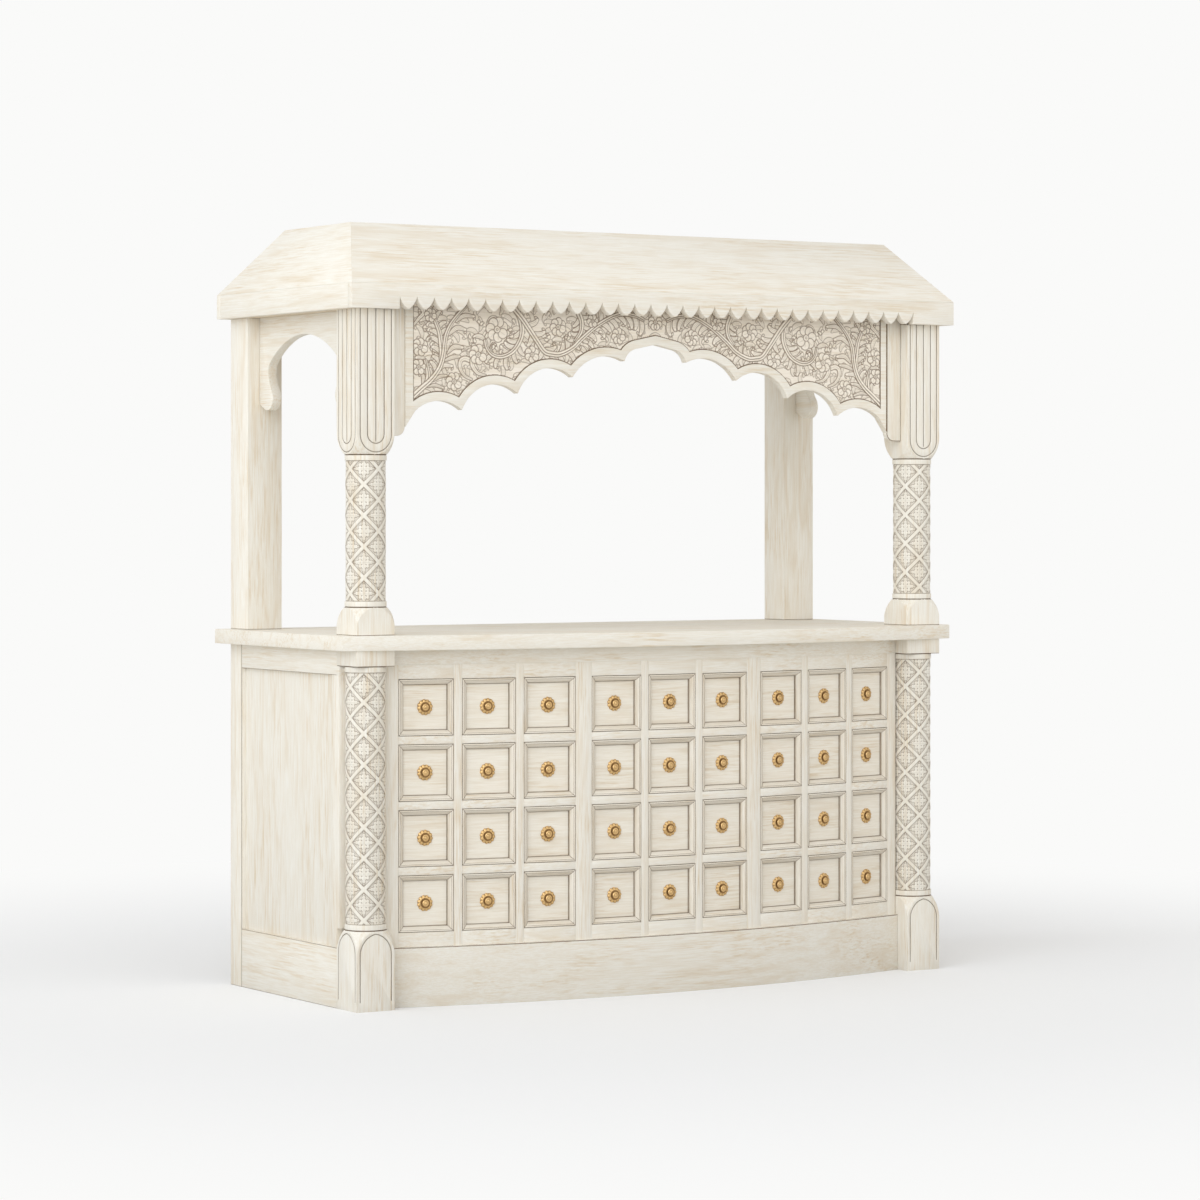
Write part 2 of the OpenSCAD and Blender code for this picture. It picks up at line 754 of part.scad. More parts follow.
module canopy_frame() {
    beam_x = eave_x - fascia_t;
    front_beam_y = arch_setback + arch_t;
    cross_l = 2 * (beam_x - beam_w - glue_line);
    color(pale_wood) placed() translate([0, 0, canopy_z]) {
        both_sides() translate([beam_x - beam_w, eave_y0 + fascia_t, 0])
            cube([beam_w, eave_y1 - eave_y0 - 2 * fascia_t, beam_h]);
        for (y = [front_beam_y, eave_y1 - fascia_t - beam_w])
            translate([-cross_l / 2, y, 0]) cube([cross_l, beam_w, beam_h]);
    }
}

// One scallop: two curved sides that meet in a blunt tip, y = 0 at its cusps.
module scallop(w) {
    centre = circle_through([w / 2, 0], [0, -scallop_depth - scallop_blunt], scallop_side_r);
    intersection() {
        translate(centre) circle(r = scallop_side_r, $fn = round_fn);
        translate([-centre[0], centre[1]]) circle(r = scallop_side_r, $fn = round_fn);
        translate([-w / 2, -scallop_depth]) square([w, scallop_depth + cut_spare]);
    }
}

// Centre of the circle of radius r that runs from a to b, on the side of the tooth.
function circle_through(a, b, r) =
    let (m = (a + b) / 2, d = b - a, l = norm(d), h = sqrt(r * r - l * l / 4))
    m + h * [d[1], -d[0]] / l;

module front_fascia() {
    pitch = 2 * post_in_x / scallops;
    color(whitewash) placed() translate([0, eave_y0 + fascia_t, canopy_z]) rotate([90, 0, 0])
        linear_extrude(fascia_t) difference() {
            translate([-eave_x, 0]) square([2 * eave_x, fascia_h]);
            difference() {
                translate([-post_in_x, -cut_spare])
                    square([2 * post_in_x, scallop_depth + cut_spare]);
                for (i = [0 : scallops - 1])
                    translate([(i + 0.5) * pitch - post_in_x, scallop_depth]) scallop(pitch);
            }
        }
}

module eave_boards() {
    side_l = eave_y1 - eave_y0 - 2 * fascia_t - glue_line;
    color(whitewash) placed() translate([0, 0, canopy_z]) {
        both_sides() translate([eave_x - fascia_t, eave_y0 + fascia_t, 0])
            cube([fascia_t, side_l, fascia_h]);
        translate([-eave_x, eave_y1 - fascia_t, 0]) cube([2 * eave_x, fascia_t, fascia_h]);
    }
}

// A board with an outer and an inner face of four corners each, in the same order.
module mitred_board(outer, inner) {
    polyhedron(
        points = concat(outer, inner),
        faces = [[0, 1, 2, 3], [7, 6, 5, 4], [0, 4, 5, 1], [1, 5, 6, 2], [2, 6, 7, 3],
            [3, 7, 4, 0]]);
}

// Corner i of the roof's outer or inner surface, at a share k of its rise, moved in by inset.
function roof_corner(i, k, inset) =
    let (
        x = eave_x - inset - k * roof_side_run,
        y0 = eave_y0 + inset + k * roof_front_run,
        y1 = eave_y1 - inset - k * roof_back_run,
        z = fascia_top_z + k * roof_rise)
    [[-x, y0, z], [x, y0, z], [x, y1, z], [-x, y1, z]][i % 4];

// Four sloping boards, mitred along the hips, round a flat top board.
module roof_panels() {
    inner_k = (roof_rise - roof_t) / roof_rise;
    along = [[1, 0, 0], [0, 1, 0], [-1, 0, 0], [0, -1, 0]];
    color(whitewash) placed() {
        for (i = [0 : 3]) {
            hip_gap = glue_line * along[i];
            mitred_board(
                [roof_corner(i, 0, 0) + hip_gap, roof_corner(i, 1, 0) + hip_gap,
                 roof_corner(i + 1, 1, 0) - hip_gap, roof_corner(i + 1, 0, 0) - hip_gap],
                [roof_corner(i, 0, fascia_t) + hip_gap,
                 roof_corner(i, inner_k, fascia_t) + hip_gap,
                 roof_corner(i + 1, inner_k, fascia_t) - hip_gap,
                 roof_corner(i + 1, 0, fascia_t) - hip_gap]);
        }
        mitred_board(
            [for (i = [3 : -1 : 0]) roof_corner(i, 1, glue_line)],
            [for (i = [3 : -1 : 0]) roof_corner(i, inner_k, fascia_t + glue_line)]);
    }
}

// One mitred moulding of a drawer front, along its lower edge, the corner at z = 0.
module moulding(l) {
    foot = l / 2 - glue_line;
    intersection() {
        rotate([90, 0, 90]) translate([0, 0, -l / 2]) linear_extrude(l)
            polygon([[0, 0], [0, moulding_flat], [moulding_drop, moulding_w],
                [panel_recess - glue_line, moulding_w], [panel_recess - glue_line, 0]]);
        translate([0, 2 * panel_recess, 0]) rotate([90, 0, 0]) linear_extrude(3 * panel_recess)
            polygon([[-foot, 0], [foot, 0], [foot - moulding_w, moulding_w],
                [moulding_w - foot, moulding_w]]);
    }
}

// The rosette and the knob, on a foot at z = 0.
module knob() {
    rosette_r = rosette_d / 2;
    knob_r = knob_d / 2;
    neck_r = knob_neck_d / 2;
    crown_z = knob_reach - knob_crown_h;
    crown_w = knob_r - knob_front_d / 2;
    translate([0, 0, glue_line]) rotate_extrude($fn = small_fn)
        polygon([[0, 0], [rosette_r, 0], [rosette_r, rosette_rim_t],
            [knob_r, rosette_h - 2 * glue_line], [0, rosette_h - 2 * glue_line]]);
    rotate_extrude($fn = small_fn)
        polygon(concat(
            [[0, rosette_h], [neck_r, rosette_h], [knob_r, crown_z - knob_edge_h]],
            [for (a = [0, 30, 60, 90])
                [knob_r - crown_w * (1 - cos(a)), crown_z + knob_crown_h * sin(a)]],
            [[0, knob_reach]]));
}

// One drawer on the face's local frame, the lower edge of its opening at z = 0.
module drawer_pieces() {
    panel_y = front_inset + panel_recess;
    inner_w = box_w - 2 * box_wall;
    translate([0, front_inset, opening_h / 2]) {
        for (flip = [0, 180]) rotate([0, flip, 0])
            translate([0, 0, -front_h / 2]) moulding(front_w);
        for (side = [90, 270]) rotate([0, side, 0])
            translate([0, 0, -front_w / 2]) moulding(front_h);
        translate([-front_w / 2, panel_recess, -front_h / 2])
            cube([front_w, front_panel_t, front_h]);
        color(brass) translate([0, panel_recess, 0]) rotate([90, 0, 0]) knob();
    }
    inside_w = inner_w - 2 * glue_line;
    both_sides() translate([inner_w / 2, box_y + glue_line, run_gap])
        cube([box_wall, box_l - glue_line, box_h]);
    translate([-inside_w / 2, drawer_depth - box_wall, run_gap])
        cube([inside_w, box_wall, box_h]);
    translate([-inside_w / 2, box_y + glue_line, run_gap + box_bottom_raise])
        cube([inside_w, box_l - box_wall - 2 * glue_line, box_bottom_t]);
}

module drawer(r, c) {
    color(whitewash) placed() translate([0, 0, row_z(r)]) at_face(column_s(c)) drawer_pieces();
}

countertop();
plinth();
top_rail();
front_stiles();
front_rails();
drawer_decks();
drawer_guides();
bay_dividers();
partition();
lower_posts();
side_frames();
side_panels();
back_frame();
shelves();
upper_columns();
rear_posts();
arch_panel();
arch_cleats();
side_arches();
canopy_frame();
front_fascia();
eave_boards();
roof_panels();
for (r = [1 : rows], c = [1 : columns])
    drawer(r, c);
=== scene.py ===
"""The looks of a whitewashed, carved canopy bar counter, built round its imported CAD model."""

import json
import math

import bpy
import numpy as np
from mathutils import Matrix


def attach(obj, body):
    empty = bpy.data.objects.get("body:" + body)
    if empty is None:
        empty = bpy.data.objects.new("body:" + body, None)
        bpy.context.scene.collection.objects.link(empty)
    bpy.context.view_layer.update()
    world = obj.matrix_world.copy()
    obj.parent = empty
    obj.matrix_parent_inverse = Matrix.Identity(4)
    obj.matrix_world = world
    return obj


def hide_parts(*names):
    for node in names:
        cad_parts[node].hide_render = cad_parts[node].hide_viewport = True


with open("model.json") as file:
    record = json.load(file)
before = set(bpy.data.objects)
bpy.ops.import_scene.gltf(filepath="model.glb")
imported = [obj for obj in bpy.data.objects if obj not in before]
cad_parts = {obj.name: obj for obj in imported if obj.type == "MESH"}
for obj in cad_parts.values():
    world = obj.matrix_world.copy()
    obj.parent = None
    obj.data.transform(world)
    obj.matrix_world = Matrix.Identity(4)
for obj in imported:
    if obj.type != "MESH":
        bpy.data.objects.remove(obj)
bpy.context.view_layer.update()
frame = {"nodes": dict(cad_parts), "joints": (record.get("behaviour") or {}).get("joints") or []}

MM = 0.001

# Sizes of the part, in metres
COUNTER_H = 1.050
CANOPY_Z = 1.964
FRONT_Y = -0.3455
POST_X = 0.948
POST_Y = FRONT_Y + 0.060
POST_BACK_Y = FRONT_Y + 0.120
SHAFT_R = 0.057
LOWER_SHAFT = (0.241, 0.947)
UPPER_SHAFT = (1.1455, 1.540)
FACE_HALF_W = 0.888
BOW = 0.1195
FACE_SETBACK = 0.061
PLINTH_H = 0.168
SIDE_X = 1.008
SIDE_ARCH_Y = (POST_BACK_Y, FRONT_Y + 0.673)
SIDE_STRIP_Y = FRONT_Y + 0.151
STRIP_REACH = 0.016
POST_BLOCK_ENDS = (0.2255, 0.9625)
ROW_Z = {1: 0.763375, 2: 0.57875, 3: 0.394125, 4: 0.2095}
OPENING_H = 0.160625
FACE_R = (FACE_HALF_W ** 2 + BOW ** 2) / (2 * BOW)
FACE_CENTRE_Y = FRONT_Y + FACE_SETBACK - BOW + FACE_R
ARCH_FRONT_Y = FRONT_Y + 0.031
FIELD_DEPTH = 0.006
# Height of the dark line at the foot of what stands on the counter
JOINT_LINE = 2.2 * MM

# The photograph's camera: its place, its turn, and its focal length and horizon in pixels
CAMERA_AT = (-6.2459, -10.0745, 1.4083)
CAMERA_TURN = 0.5552
PIXELS = 3959.3
HORIZON_PX = 507.5
# Width of a pixel on the arch's face
PIXEL = 3.15 * MM


def colour(red, green, blue):
    """Linear colour of an sRGB colour given as 0 to 255."""
    def linear(c):
        c = c / 255
        return c / 12.92 if c <= 0.04045 else ((c + 0.055) / 1.055) ** 2.4
    return (linear(red), linear(green), linear(blue), 1.0)


CREAM = colour(241, 238, 231)
TAN = colour(222, 206, 182)
BARE = colour(226, 216, 198)
INNER_CREAM = colour(228, 216, 196)
INNER_TAN = colour(196, 174, 142)
# Dark glazing colour, also laid on as painted shade in recesses, grooves and along edges
GLAZE_AND_SHADE = colour(106, 82, 54)
BRASS = colour(226, 190, 134)
# Patina colour, also laid on as painted shade round the knob's neck
PATINA_AND_SHADE = colour(118, 80, 34)
BACKGROUND = colour(250, 250, 249)


# Editing helpers

def add_object(name, data):
    made = bpy.data.objects.new(name, data)
    bpy.context.scene.collection.objects.link(made)
    return made


def add_shape(name, add, **settings):
    """A simple mesh, made by the given operator."""
    bpy.ops.object.select_all(action="DESELECT")
    add(**settings)
    bpy.context.object.name = name
    return bpy.context.object


def add_grid(name, columns, rows):
    return add_shape(name, bpy.ops.mesh.primitive_grid_add,
                     x_subdivisions=columns, y_subdivisions=rows, size=1)


def pick(piece):
    bpy.ops.object.select_all(action="DESELECT")
    piece.select_set(True)
    bpy.context.view_layer.objects.active = piece


def open_mesh(piece, mode="VERT"):
    pick(piece)
    bpy.ops.object.mode_set(mode="EDIT")
    bpy.ops.mesh.select_mode(type=mode)


def close_mesh():
    bpy.ops.object.mode_set(mode="OBJECT")


def open_chosen(piece, chosen, mode="FACE"):
    """Opens a mesh with only the chosen faces or points selected."""
    open_mesh(piece, mode)
    bpy.ops.mesh.select_all(action="DESELECT")
    close_mesh()
    parts = piece.data.polygons if mode == "FACE" else piece.data.vertices
    parts.foreach_set("select", chosen)
    open_mesh(piece, mode)


def select_whole():
    bpy.ops.mesh.select_all(action="SELECT")


def turn_outwards():
    select_whole()
    bpy.ops.mesh.normals_make_consistent(inside=False)


def merge_points():
    select_whole()
    bpy.ops.mesh.remove_doubles(threshold=0.00001)


def faces_among(mesh, chosen):
    """Which faces have all their points among the chosen ones."""
    return np.array([chosen[list(face.vertices)].all() for face in mesh.polygons])


def triples(parts, name):
    """A property of all points or faces, with three numbers for each."""
    values = np.empty(len(parts) * 3)
    parts.foreach_get(name, values)
    return values.reshape(-1, 3)


def points_of(mesh):
    return triples(mesh.vertices, "co")


def faces_of(mesh):
    """The centres and normals of the faces."""
    return triples(mesh.polygons, "center"), triples(mesh.polygons, "normal")


def move_points(mesh, points):
    mesh.vertices.foreach_set("co", np.asarray(points, dtype=np.float64).ravel())
    mesh.update()


def store(mesh, name, values, domain="POINT"):
    values = np.asarray(values, dtype=np.float32)
    kind = "FLOAT" if values.ndim == 1 else "FLOAT_VECTOR"
    layer = mesh.attributes.get(name) or mesh.attributes.new(name, kind, domain)
    layer.data.foreach_set("value" if values.ndim == 1 else "vector", values.ravel())


def smooth(piece, degrees=30):
    pick(piece)
    bpy.ops.object.shade_smooth_by_angle(angle=math.radians(degrees))


# Materials

def make(tree, kind, inputs=None, **settings):
    """Adds a shader node. An input is a value or another node's output."""
    node = tree.nodes.new(kind)
    for key, value in settings.items():
        setattr(node, key, value)
    for key, value in (inputs or {}).items():
        if isinstance(value, bpy.types.NodeSocket):
            tree.links.new(value, node.inputs[key])
        else:
            node.inputs[key].default_value = value
    return node


def blend_colour(tree, share, first, second):
    return make(tree, "ShaderNodeMix", {0: share, 6: first, 7: second},
                data_type="RGBA").outputs[2]


def noise(tree, at, along, across, detail=3.0, roughness=0.6, distortion=0.0):
    """Noise with its own frequency along the grain and across it."""
    scaled = make(tree, "ShaderNodeVectorMath", {0: at, 1: (along, across, across)},
                  operation="MULTIPLY")
    node = make(tree, "ShaderNodeTexNoise",
                {"Vector": scaled.outputs[0], "Scale": 1.0, "Detail": detail,
                 "Roughness": roughness, "Distortion": distortion})
    return node.outputs["Fac"]


def stored(tree, name, output="Fac"):
    return make(tree, "ShaderNodeAttribute", attribute_name=name).outputs[output]


def spread(tree, value, low, high, to_low=0.0, to_high=1.0):
    node = make(tree, "ShaderNodeMapRange",
                {"Value": value, "From Min": low, "From Max": high,
                 "To Min": to_low, "To Max": to_high}, interpolation_type="SMOOTHSTEP")
    return node.outputs["Result"]


def maths(tree, first, second, operation="MULTIPLY"):
    return make(tree, "ShaderNodeMath", {0: first, 1: second}, operation=operation).outputs[0]


def new_shader(name):
    material = bpy.data.materials.new(name)
    material.use_nodes = True
    tree = material.node_tree
    tree.nodes.clear()
    return material, tree


def painted_wood(name, cream, tan, from_attribute=True, streaks=1.0):
    """Whitewash over wood: brushed streaks along the grain, bare patches, and dark glazing with
    painted shade in the low places.
    """
    material, tree = new_shader(name)
    if from_attribute:
        at = stored(tree, "grain_co", "Vector")
    else:
        at = make(tree, "ShaderNodeTexCoord").outputs["Object"]
    streak = spread(tree, noise(tree, at, 9.0, 170.0, 4.0, 0.65), 0.44, 0.70)
    patch = spread(tree, noise(tree, at, 3.4, 13.0, 2.0, 0.5, 0.4), 0.38, 0.66)
    broad = spread(tree, noise(tree, at, 3.2, 30.0, 3.0, 0.6, 0.8), 0.45, 0.75)
    brushed = spread(tree, noise(tree, at, 12.0, 330.0, 3.0, 0.7), 0.36, 0.66)
    grain = noise(tree, at, 34.0, 640.0)
    pores = spread(tree, noise(tree, at, 19.0, 420.0, 2.0, 0.5), 0.60, 0.78)
    mottle = spread(tree, noise(tree, at, 16.0, 24.0), 0.35, 0.75)
    tone = blend_colour(tree, maths(tree, maths(tree, streak, patch), streaks), cream, tan)
    for share, strength, paint in ((broad, 0.50 * streaks, tan), (pores, 0.28, tan),
                                   (mottle, 0.10, BARE), (brushed, 0.42, BARE)):
        tone = blend_colour(tree, maths(tree, share, strength), tone, paint)
    # Painted shade with glazing: the dark shares stored on the pieces, in hollows and along edges
    tinted_and_shaded = maths(tree, stored(tree, "wash"), stored(tree, "edge_wash"), "MAXIMUM")
    wear = spread(tree, noise(tree, at, 60.0, 60.0), 0.25, 0.60, 0.85, 1.0)
    tone = blend_colour(tree, maths(tree, tinted_and_shaded, wear), tone, GLAZE_AND_SHADE)
    rough = spread(tree, streak, 0.0, 1.0, 0.62, 0.74)
    height = maths(tree, grain, 0.6, "MULTIPLY_ADD")
    tree.links.new(streak, height.node.inputs[2])
    bump = make(tree, "ShaderNodeBump", {"Strength": 0.35, "Distance": 0.0005, "Height": height})
    shader = make(tree, "ShaderNodeBsdfPrincipled",
                  {"Base Color": tone, "Roughness": rough, "Normal": bump.outputs[0],
                   "Specular IOR Level": 0.35})
    make(tree, "ShaderNodeOutputMaterial", {"Surface": shader.outputs[0]})
    return material


def aged_brass(name):
    material, tree = new_shader(name)
    at = make(tree, "ShaderNodeTexCoord").outputs["Object"]
    worn = spread(tree, noise(tree, at, 160.0, 160.0), 0.35, 0.70, 0.0, 0.35)
    # Random tarnish, and the stored patina with painted shade
    dark = maths(tree, worn, stored(tree, "wash"), "MAXIMUM")
    tone = blend_colour(tree, dark, BRASS, PATINA_AND_SHADE)
    metal = spread(tree, dark, 0.0, 1.0, 1.0, 0.55)
    rough = spread(tree, dark, 0.0, 1.0, 0.34, 0.6)
    grain = noise(tree, at, 900.0, 900.0, 2.0, 0.55)
    bump = make(tree, "ShaderNodeBump", {"Strength": 0.25, "Distance": 0.0002, "Height": grain})
    shader = make(tree, "ShaderNodeBsdfPrincipled",
                  {"Base Color": tone, "Metallic": metal, "Roughness": rough,
                   "Normal": bump.outputs[0]})
    make(tree, "ShaderNodeOutputMaterial", {"Surface": shader.outputs[0]})
    return material


whitewash = painted_wood("whitewash", CREAM, TAN)
drawer_whitewash = painted_wood("drawer_whitewash", colour(244, 239, 229), TAN)
# A lighter whitewash on the carving: painted light, to brighten the carving that lies in shade under
# the fascia
carved_wash = painted_wood("carved_wash", colour(253, 245, 235), TAN, streaks=0.6)
thin_wash = painted_wood("thin_wash", INNER_CREAM, INNER_TAN, streaks=1.3)
thin_wash_fixed = painted_wood("thin_wash_fixed", INNER_CREAM, INNER_TAN, False, 1.3)
brass = aged_brass("aged_brass")


def finish(piece, node, material=whitewash, slot="whitewashed_wood", body="counter"):
    """Gives a piece its finish and its place in the frame."""
    piece.data.materials.clear()
    piece.data.materials.append(material)
    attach(piece, body)
    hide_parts(node)


# Boards: softened copies of the CAD solids

def copy_of(node, name):
    """A merged copy of a CAD node's mesh, its flat faces whole again."""
    piece = add_object(name, frame["nodes"][node].data.copy())
    piece.data.materials.clear()
    pick(piece)
    bpy.ops.mesh.customdata_custom_splitnormals_clear()
    open_mesh(piece)
    merge_points()
    bpy.ops.mesh.dissolve_limited(angle_limit=math.radians(0.5))
    close_mesh()
    return piece


def islands_of(mesh):
    """A label for each point, the same all over each loose part."""
    ends = np.empty(len(mesh.edges) * 2, dtype=np.int64)
    mesh.edges.foreach_get("vertices", ends)
    first, second = ends.reshape(-1, 2).T
    label = np.arange(len(mesh.vertices))
    while True:
        low = np.minimum(label[first], label[second])
        merged = label.copy()
        np.minimum.at(merged, first, low)
        np.minimum.at(merged, second, low)
        merged = merged[merged]
        if (merged == label).all():
            return label
        label = merged


def grain_of(points, label, random, order_of):
    """Grain coordinates: each board's points, moved at random, with its axes in its own order."""
    grain = np.empty_like(points)
    for island in np.unique(label):
        at = label == island
        order = order_of(np.ptp(points[at], axis=0))
        grain[at] = points[at][:, order] + random.uniform(-6, 6, 3)
    return grain


def lay_grain(piece, seed, along=None):
    """Grain along the given axis, or along each board's length."""
    def order_of(size):
        axis = int(size.argmax()) if along is None else along
        return [axis, (axis + 1) % 3, (axis + 2) % 3]
    random = np.random.default_rng(seed)
    grain = grain_of(points_of(piece.data), islands_of(piece.data), random, order_of)
    store(piece.data, "grain_co", grain)


def soften(piece, width, angle=30):
    """Rounds the edges and tells which faces are their roundings."""
    piece.data.materials.append(whitewash)
    piece.data.materials.append(whitewash)
    pick(piece)
    bevel = piece.modifiers.new("bevel", "BEVEL")
    bevel.width = width
    bevel.segments = 2
    bevel.limit_method = "ANGLE"
    bevel.angle_limit = math.radians(angle)
    bevel.material = 1
    bpy.ops.object.modifier_apply(modifier=bevel.name)
    faces = np.empty(len(piece.data.polygons), dtype=np.int32)
    piece.data.polygons.foreach_get("material_index", faces)
    piece.data.polygons.foreach_set("material_index", np.zeros_like(faces))
    piece.data.materials.clear()
    return faces == 1


def no_tint_and_shade(centres, normals):
    return np.zeros(len(centres))


def tint_and_shade_edges(piece, rounded, rule, strips=()):
    """Leaves dark glazing with painted shade in the rounded edges, as the rule gives for their
    places, and in level strips.
    """
    centres, normals = faces_of(piece.data)
    tint_and_shade = np.where(rounded, rule(centres, normals), 0)
    for low, high, ink in strips:
        tint_and_shade[(centres[:, 2] > low) & (centres[:, 2] < high) & (np.abs(normals[:, 2]) < 0.7)] = ink
    store(piece.data, "edge_wash", tint_and_shade, "FACE")


def split_at(piece, place, normal):
    open_mesh(piece)
    select_whole()
    bpy.ops.mesh.bisect(plane_co=place, plane_no=normal)
    close_mesh()


def split_level(piece, z):
    split_at(piece, (0, 0, z), (0, 0, 1))


def finish_board(piece, node, seed, along, *looks):
    lay_grain(piece, seed, along)
    smooth(piece)
    finish(piece, node, *looks)


def board(node, seed, edge, rule=no_tint_and_shade, along=None, material=whitewash,
          slot="whitewashed_wood", levels=(), strips=(), shape=None):
    """A softened copy of a node's boards. Faces are split at some levels, to darken parts of them
    with glazing and painted shade.
    """
    piece = copy_of(node, node + "_finished")
    if shape:
        shape(piece)
    for z in list(levels) + [end for strip in strips for end in strip[:2]]:
        split_level(piece, z)
    rounded = soften(piece, edge * MM)
    tint_and_shade_edges(piece, rounded, rule, strips)
    finish_board(piece, node, seed, along, material, slot)


def beside_openings(centres, normals):
    """Stiles: glazing and painted shade along the drawer openings only."""
    z = centres[:, 2]
    beside = np.zeros(len(z), dtype=bool)
    for row_z in ROW_Z.values():
        beside |= (z > row_z) & (z < row_z + OPENING_H)
    at_post = np.abs(centres[:, 0]) > FACE_HALF_W - 2 * MM
    return np.where(at_post, 0.7, np.where(beside, 0.8, 0))


def above_and_below_openings(centres, normals):
    """Rails: glazing and painted shade along the openings and above the plinth, not at the joints."""
    level = np.abs(normals[:, 2]) > 0.3
    at_top = centres[:, 2] > ROW_Z[1] + OPENING_H + 20 * MM
    return np.where(level & ~at_top, 0.8, 0)


# Glazing and painted shade on the plinth's rounded edges, darkest at its ends
def at_plinth_ends(centres, normals):
    return np.where(np.abs(centres[:, 0]) > FACE_HALF_W - 3 * MM, 0.8, 0.2)


def round_side_panel(centres, normals):
    """Side frame: glazing and painted shade round the panel, not at the joints with the post."""
    return np.where(centres[:, 1] > SIDE_STRIP_Y + 2 * MM, 0.95, 0)


# Glazing and painted shade on the rounded edges beside the side strip
def beside_strip(centres, normals):
    at_strip = np.abs(centres[:, 1] - SIDE_STRIP_Y) < 3 * MM
    return np.where(at_strip, 0.35, 0)


def push_faces(piece, chosen, way):
    """Moves some faces out, with new sides round them."""
    open_chosen(piece, chosen)
    bpy.ops.mesh.extrude_region_move(TRANSFORM_OT_translate={"value": way})
    close_mesh()


def reach_post(piece):
    """Brings the side's boards forward to the round shaft, between the post's blocks."""
    for z in POST_BLOCK_ENDS:
        split_level(piece, z)
    for side in (-1, 1):
        centres, normals = faces_of(piece.data)
        chosen = (normals[:, 1] < -0.9) & (centres[:, 0] * side > 0)
        chosen &= (centres[:, 1] < POST_BACK_Y + 1 * MM) & (centres[:, 2] > POST_BLOCK_ENDS[0])
        chosen &= centres[:, 2] < POST_BLOCK_ENDS[1]
        push_faces(piece, chosen, (0, -STRIP_REACH, 0))


def raise_strip(piece):
    """A flat strip between each side panel and its post, level with the frame."""
    split_at(piece, (0, SIDE_STRIP_Y, 0), (0, 1, 0))
    outside = np.abs(points_of(piece.data)[:, 0]).max()
    for side in (-1, 1):
        centres, normals = faces_of(piece.data)
        chosen = (normals[:, 0] * side > 0.9) & (centres[:, 1] < SIDE_STRIP_Y)
        push_faces(piece, chosen, (side * (SIDE_X - outside), 0, 0))
    reach_post(piece)


# Painted shadow: the cleats' right edges darker than their left, where the arch panel's shadow falls
# on them
def shaded_right_end(centres, normals):
    return np.where(centres[:, 0] > 0, 0.85, 0.15)


# Glazing and painted shade on the rounded edges at the side arches' ends
def side_arch_ends(centres, normals):
    low, high = SIDE_ARCH_Y
    at_end = np.abs(centres[:, 1] - (low + high) / 2) > (high - low) / 2 - 3 * MM
    return np.where(at_end, 0.95, 0)


board("countertop", 11, 1.6, along=0)
# Glazing and painted shade: a dark strip along the plinth's top
board("plinth", 12, 0.6, at_plinth_ends, along=0,
      strips=((PLINTH_H - 2.4 * MM, PLINTH_H, 0.95),))
board("top_rail", 13, 0.8, along=0)
row_levels = [z + extra for z in ROW_Z.values() for extra in (0, OPENING_H)]
board("front_stiles", 14, 0.6, beside_openings, along=2, levels=row_levels)
board("front_rails", 15, 0.6, above_and_below_openings, along=0)
board("side_frames", 16, 1.2, round_side_panel, shape=reach_post)
board("side_panels", 17, 0.8, beside_strip, along=2, shape=raise_strip)
board("back_frame", 18, 1.2)
board("rear_posts", 19, 2.0, along=2, strips=((COUNTER_H, COUNTER_H + JOINT_LINE, 0.7),))
board("arch_cleats", 20, 2.0, shaded_right_end, along=2)
board("side_arches", 21, 1.2, side_arch_ends)
board("front_fascia", 22, 1.2, along=0)
board("eave_boards", 23, 1.2)
board("roof_panels", 24, 0.4)
board("partition", 25, 0.8, material=thin_wash, slot="inner_wood")
board("shelves", 26, 0.8, along=0, material=thin_wash, slot="inner_wood")
for node in ("drawer_decks", "drawer_guides", "bay_dividers", "canopy_frame"):
    for used in frame["nodes"][node].material_slots:
        used.link = "OBJECT"
        used.material = thin_wash_fixed


# Posts: the square blocks keep the CAD shape, the round shafts are carved anew

# Lines turned into the rings: their depth and half height, and the radii they lie between
LINE_DEPTH = 2.4 * MM
LINE_HALF = 1.6 * MM
RING_LINE_R = (50 * MM, 59.2 * MM)
# A grooved face of a block: its half width, and its grooves' floors and sides from the axis
GROOVED_HALF_W = 52.5 * MM
GROOVE_FLOOR = 57.4 * MM
GROOVE_SIDES = (56.9 * MM, 59.9 * MM)


def radii_of(points):
    """Distance of each point from its own post's axis, and its offsets from it."""
    dx = np.abs(points[:, 0]) - POST_X
    dy = points[:, 1] - POST_Y
    return np.hypot(dx, dy), dx, dy


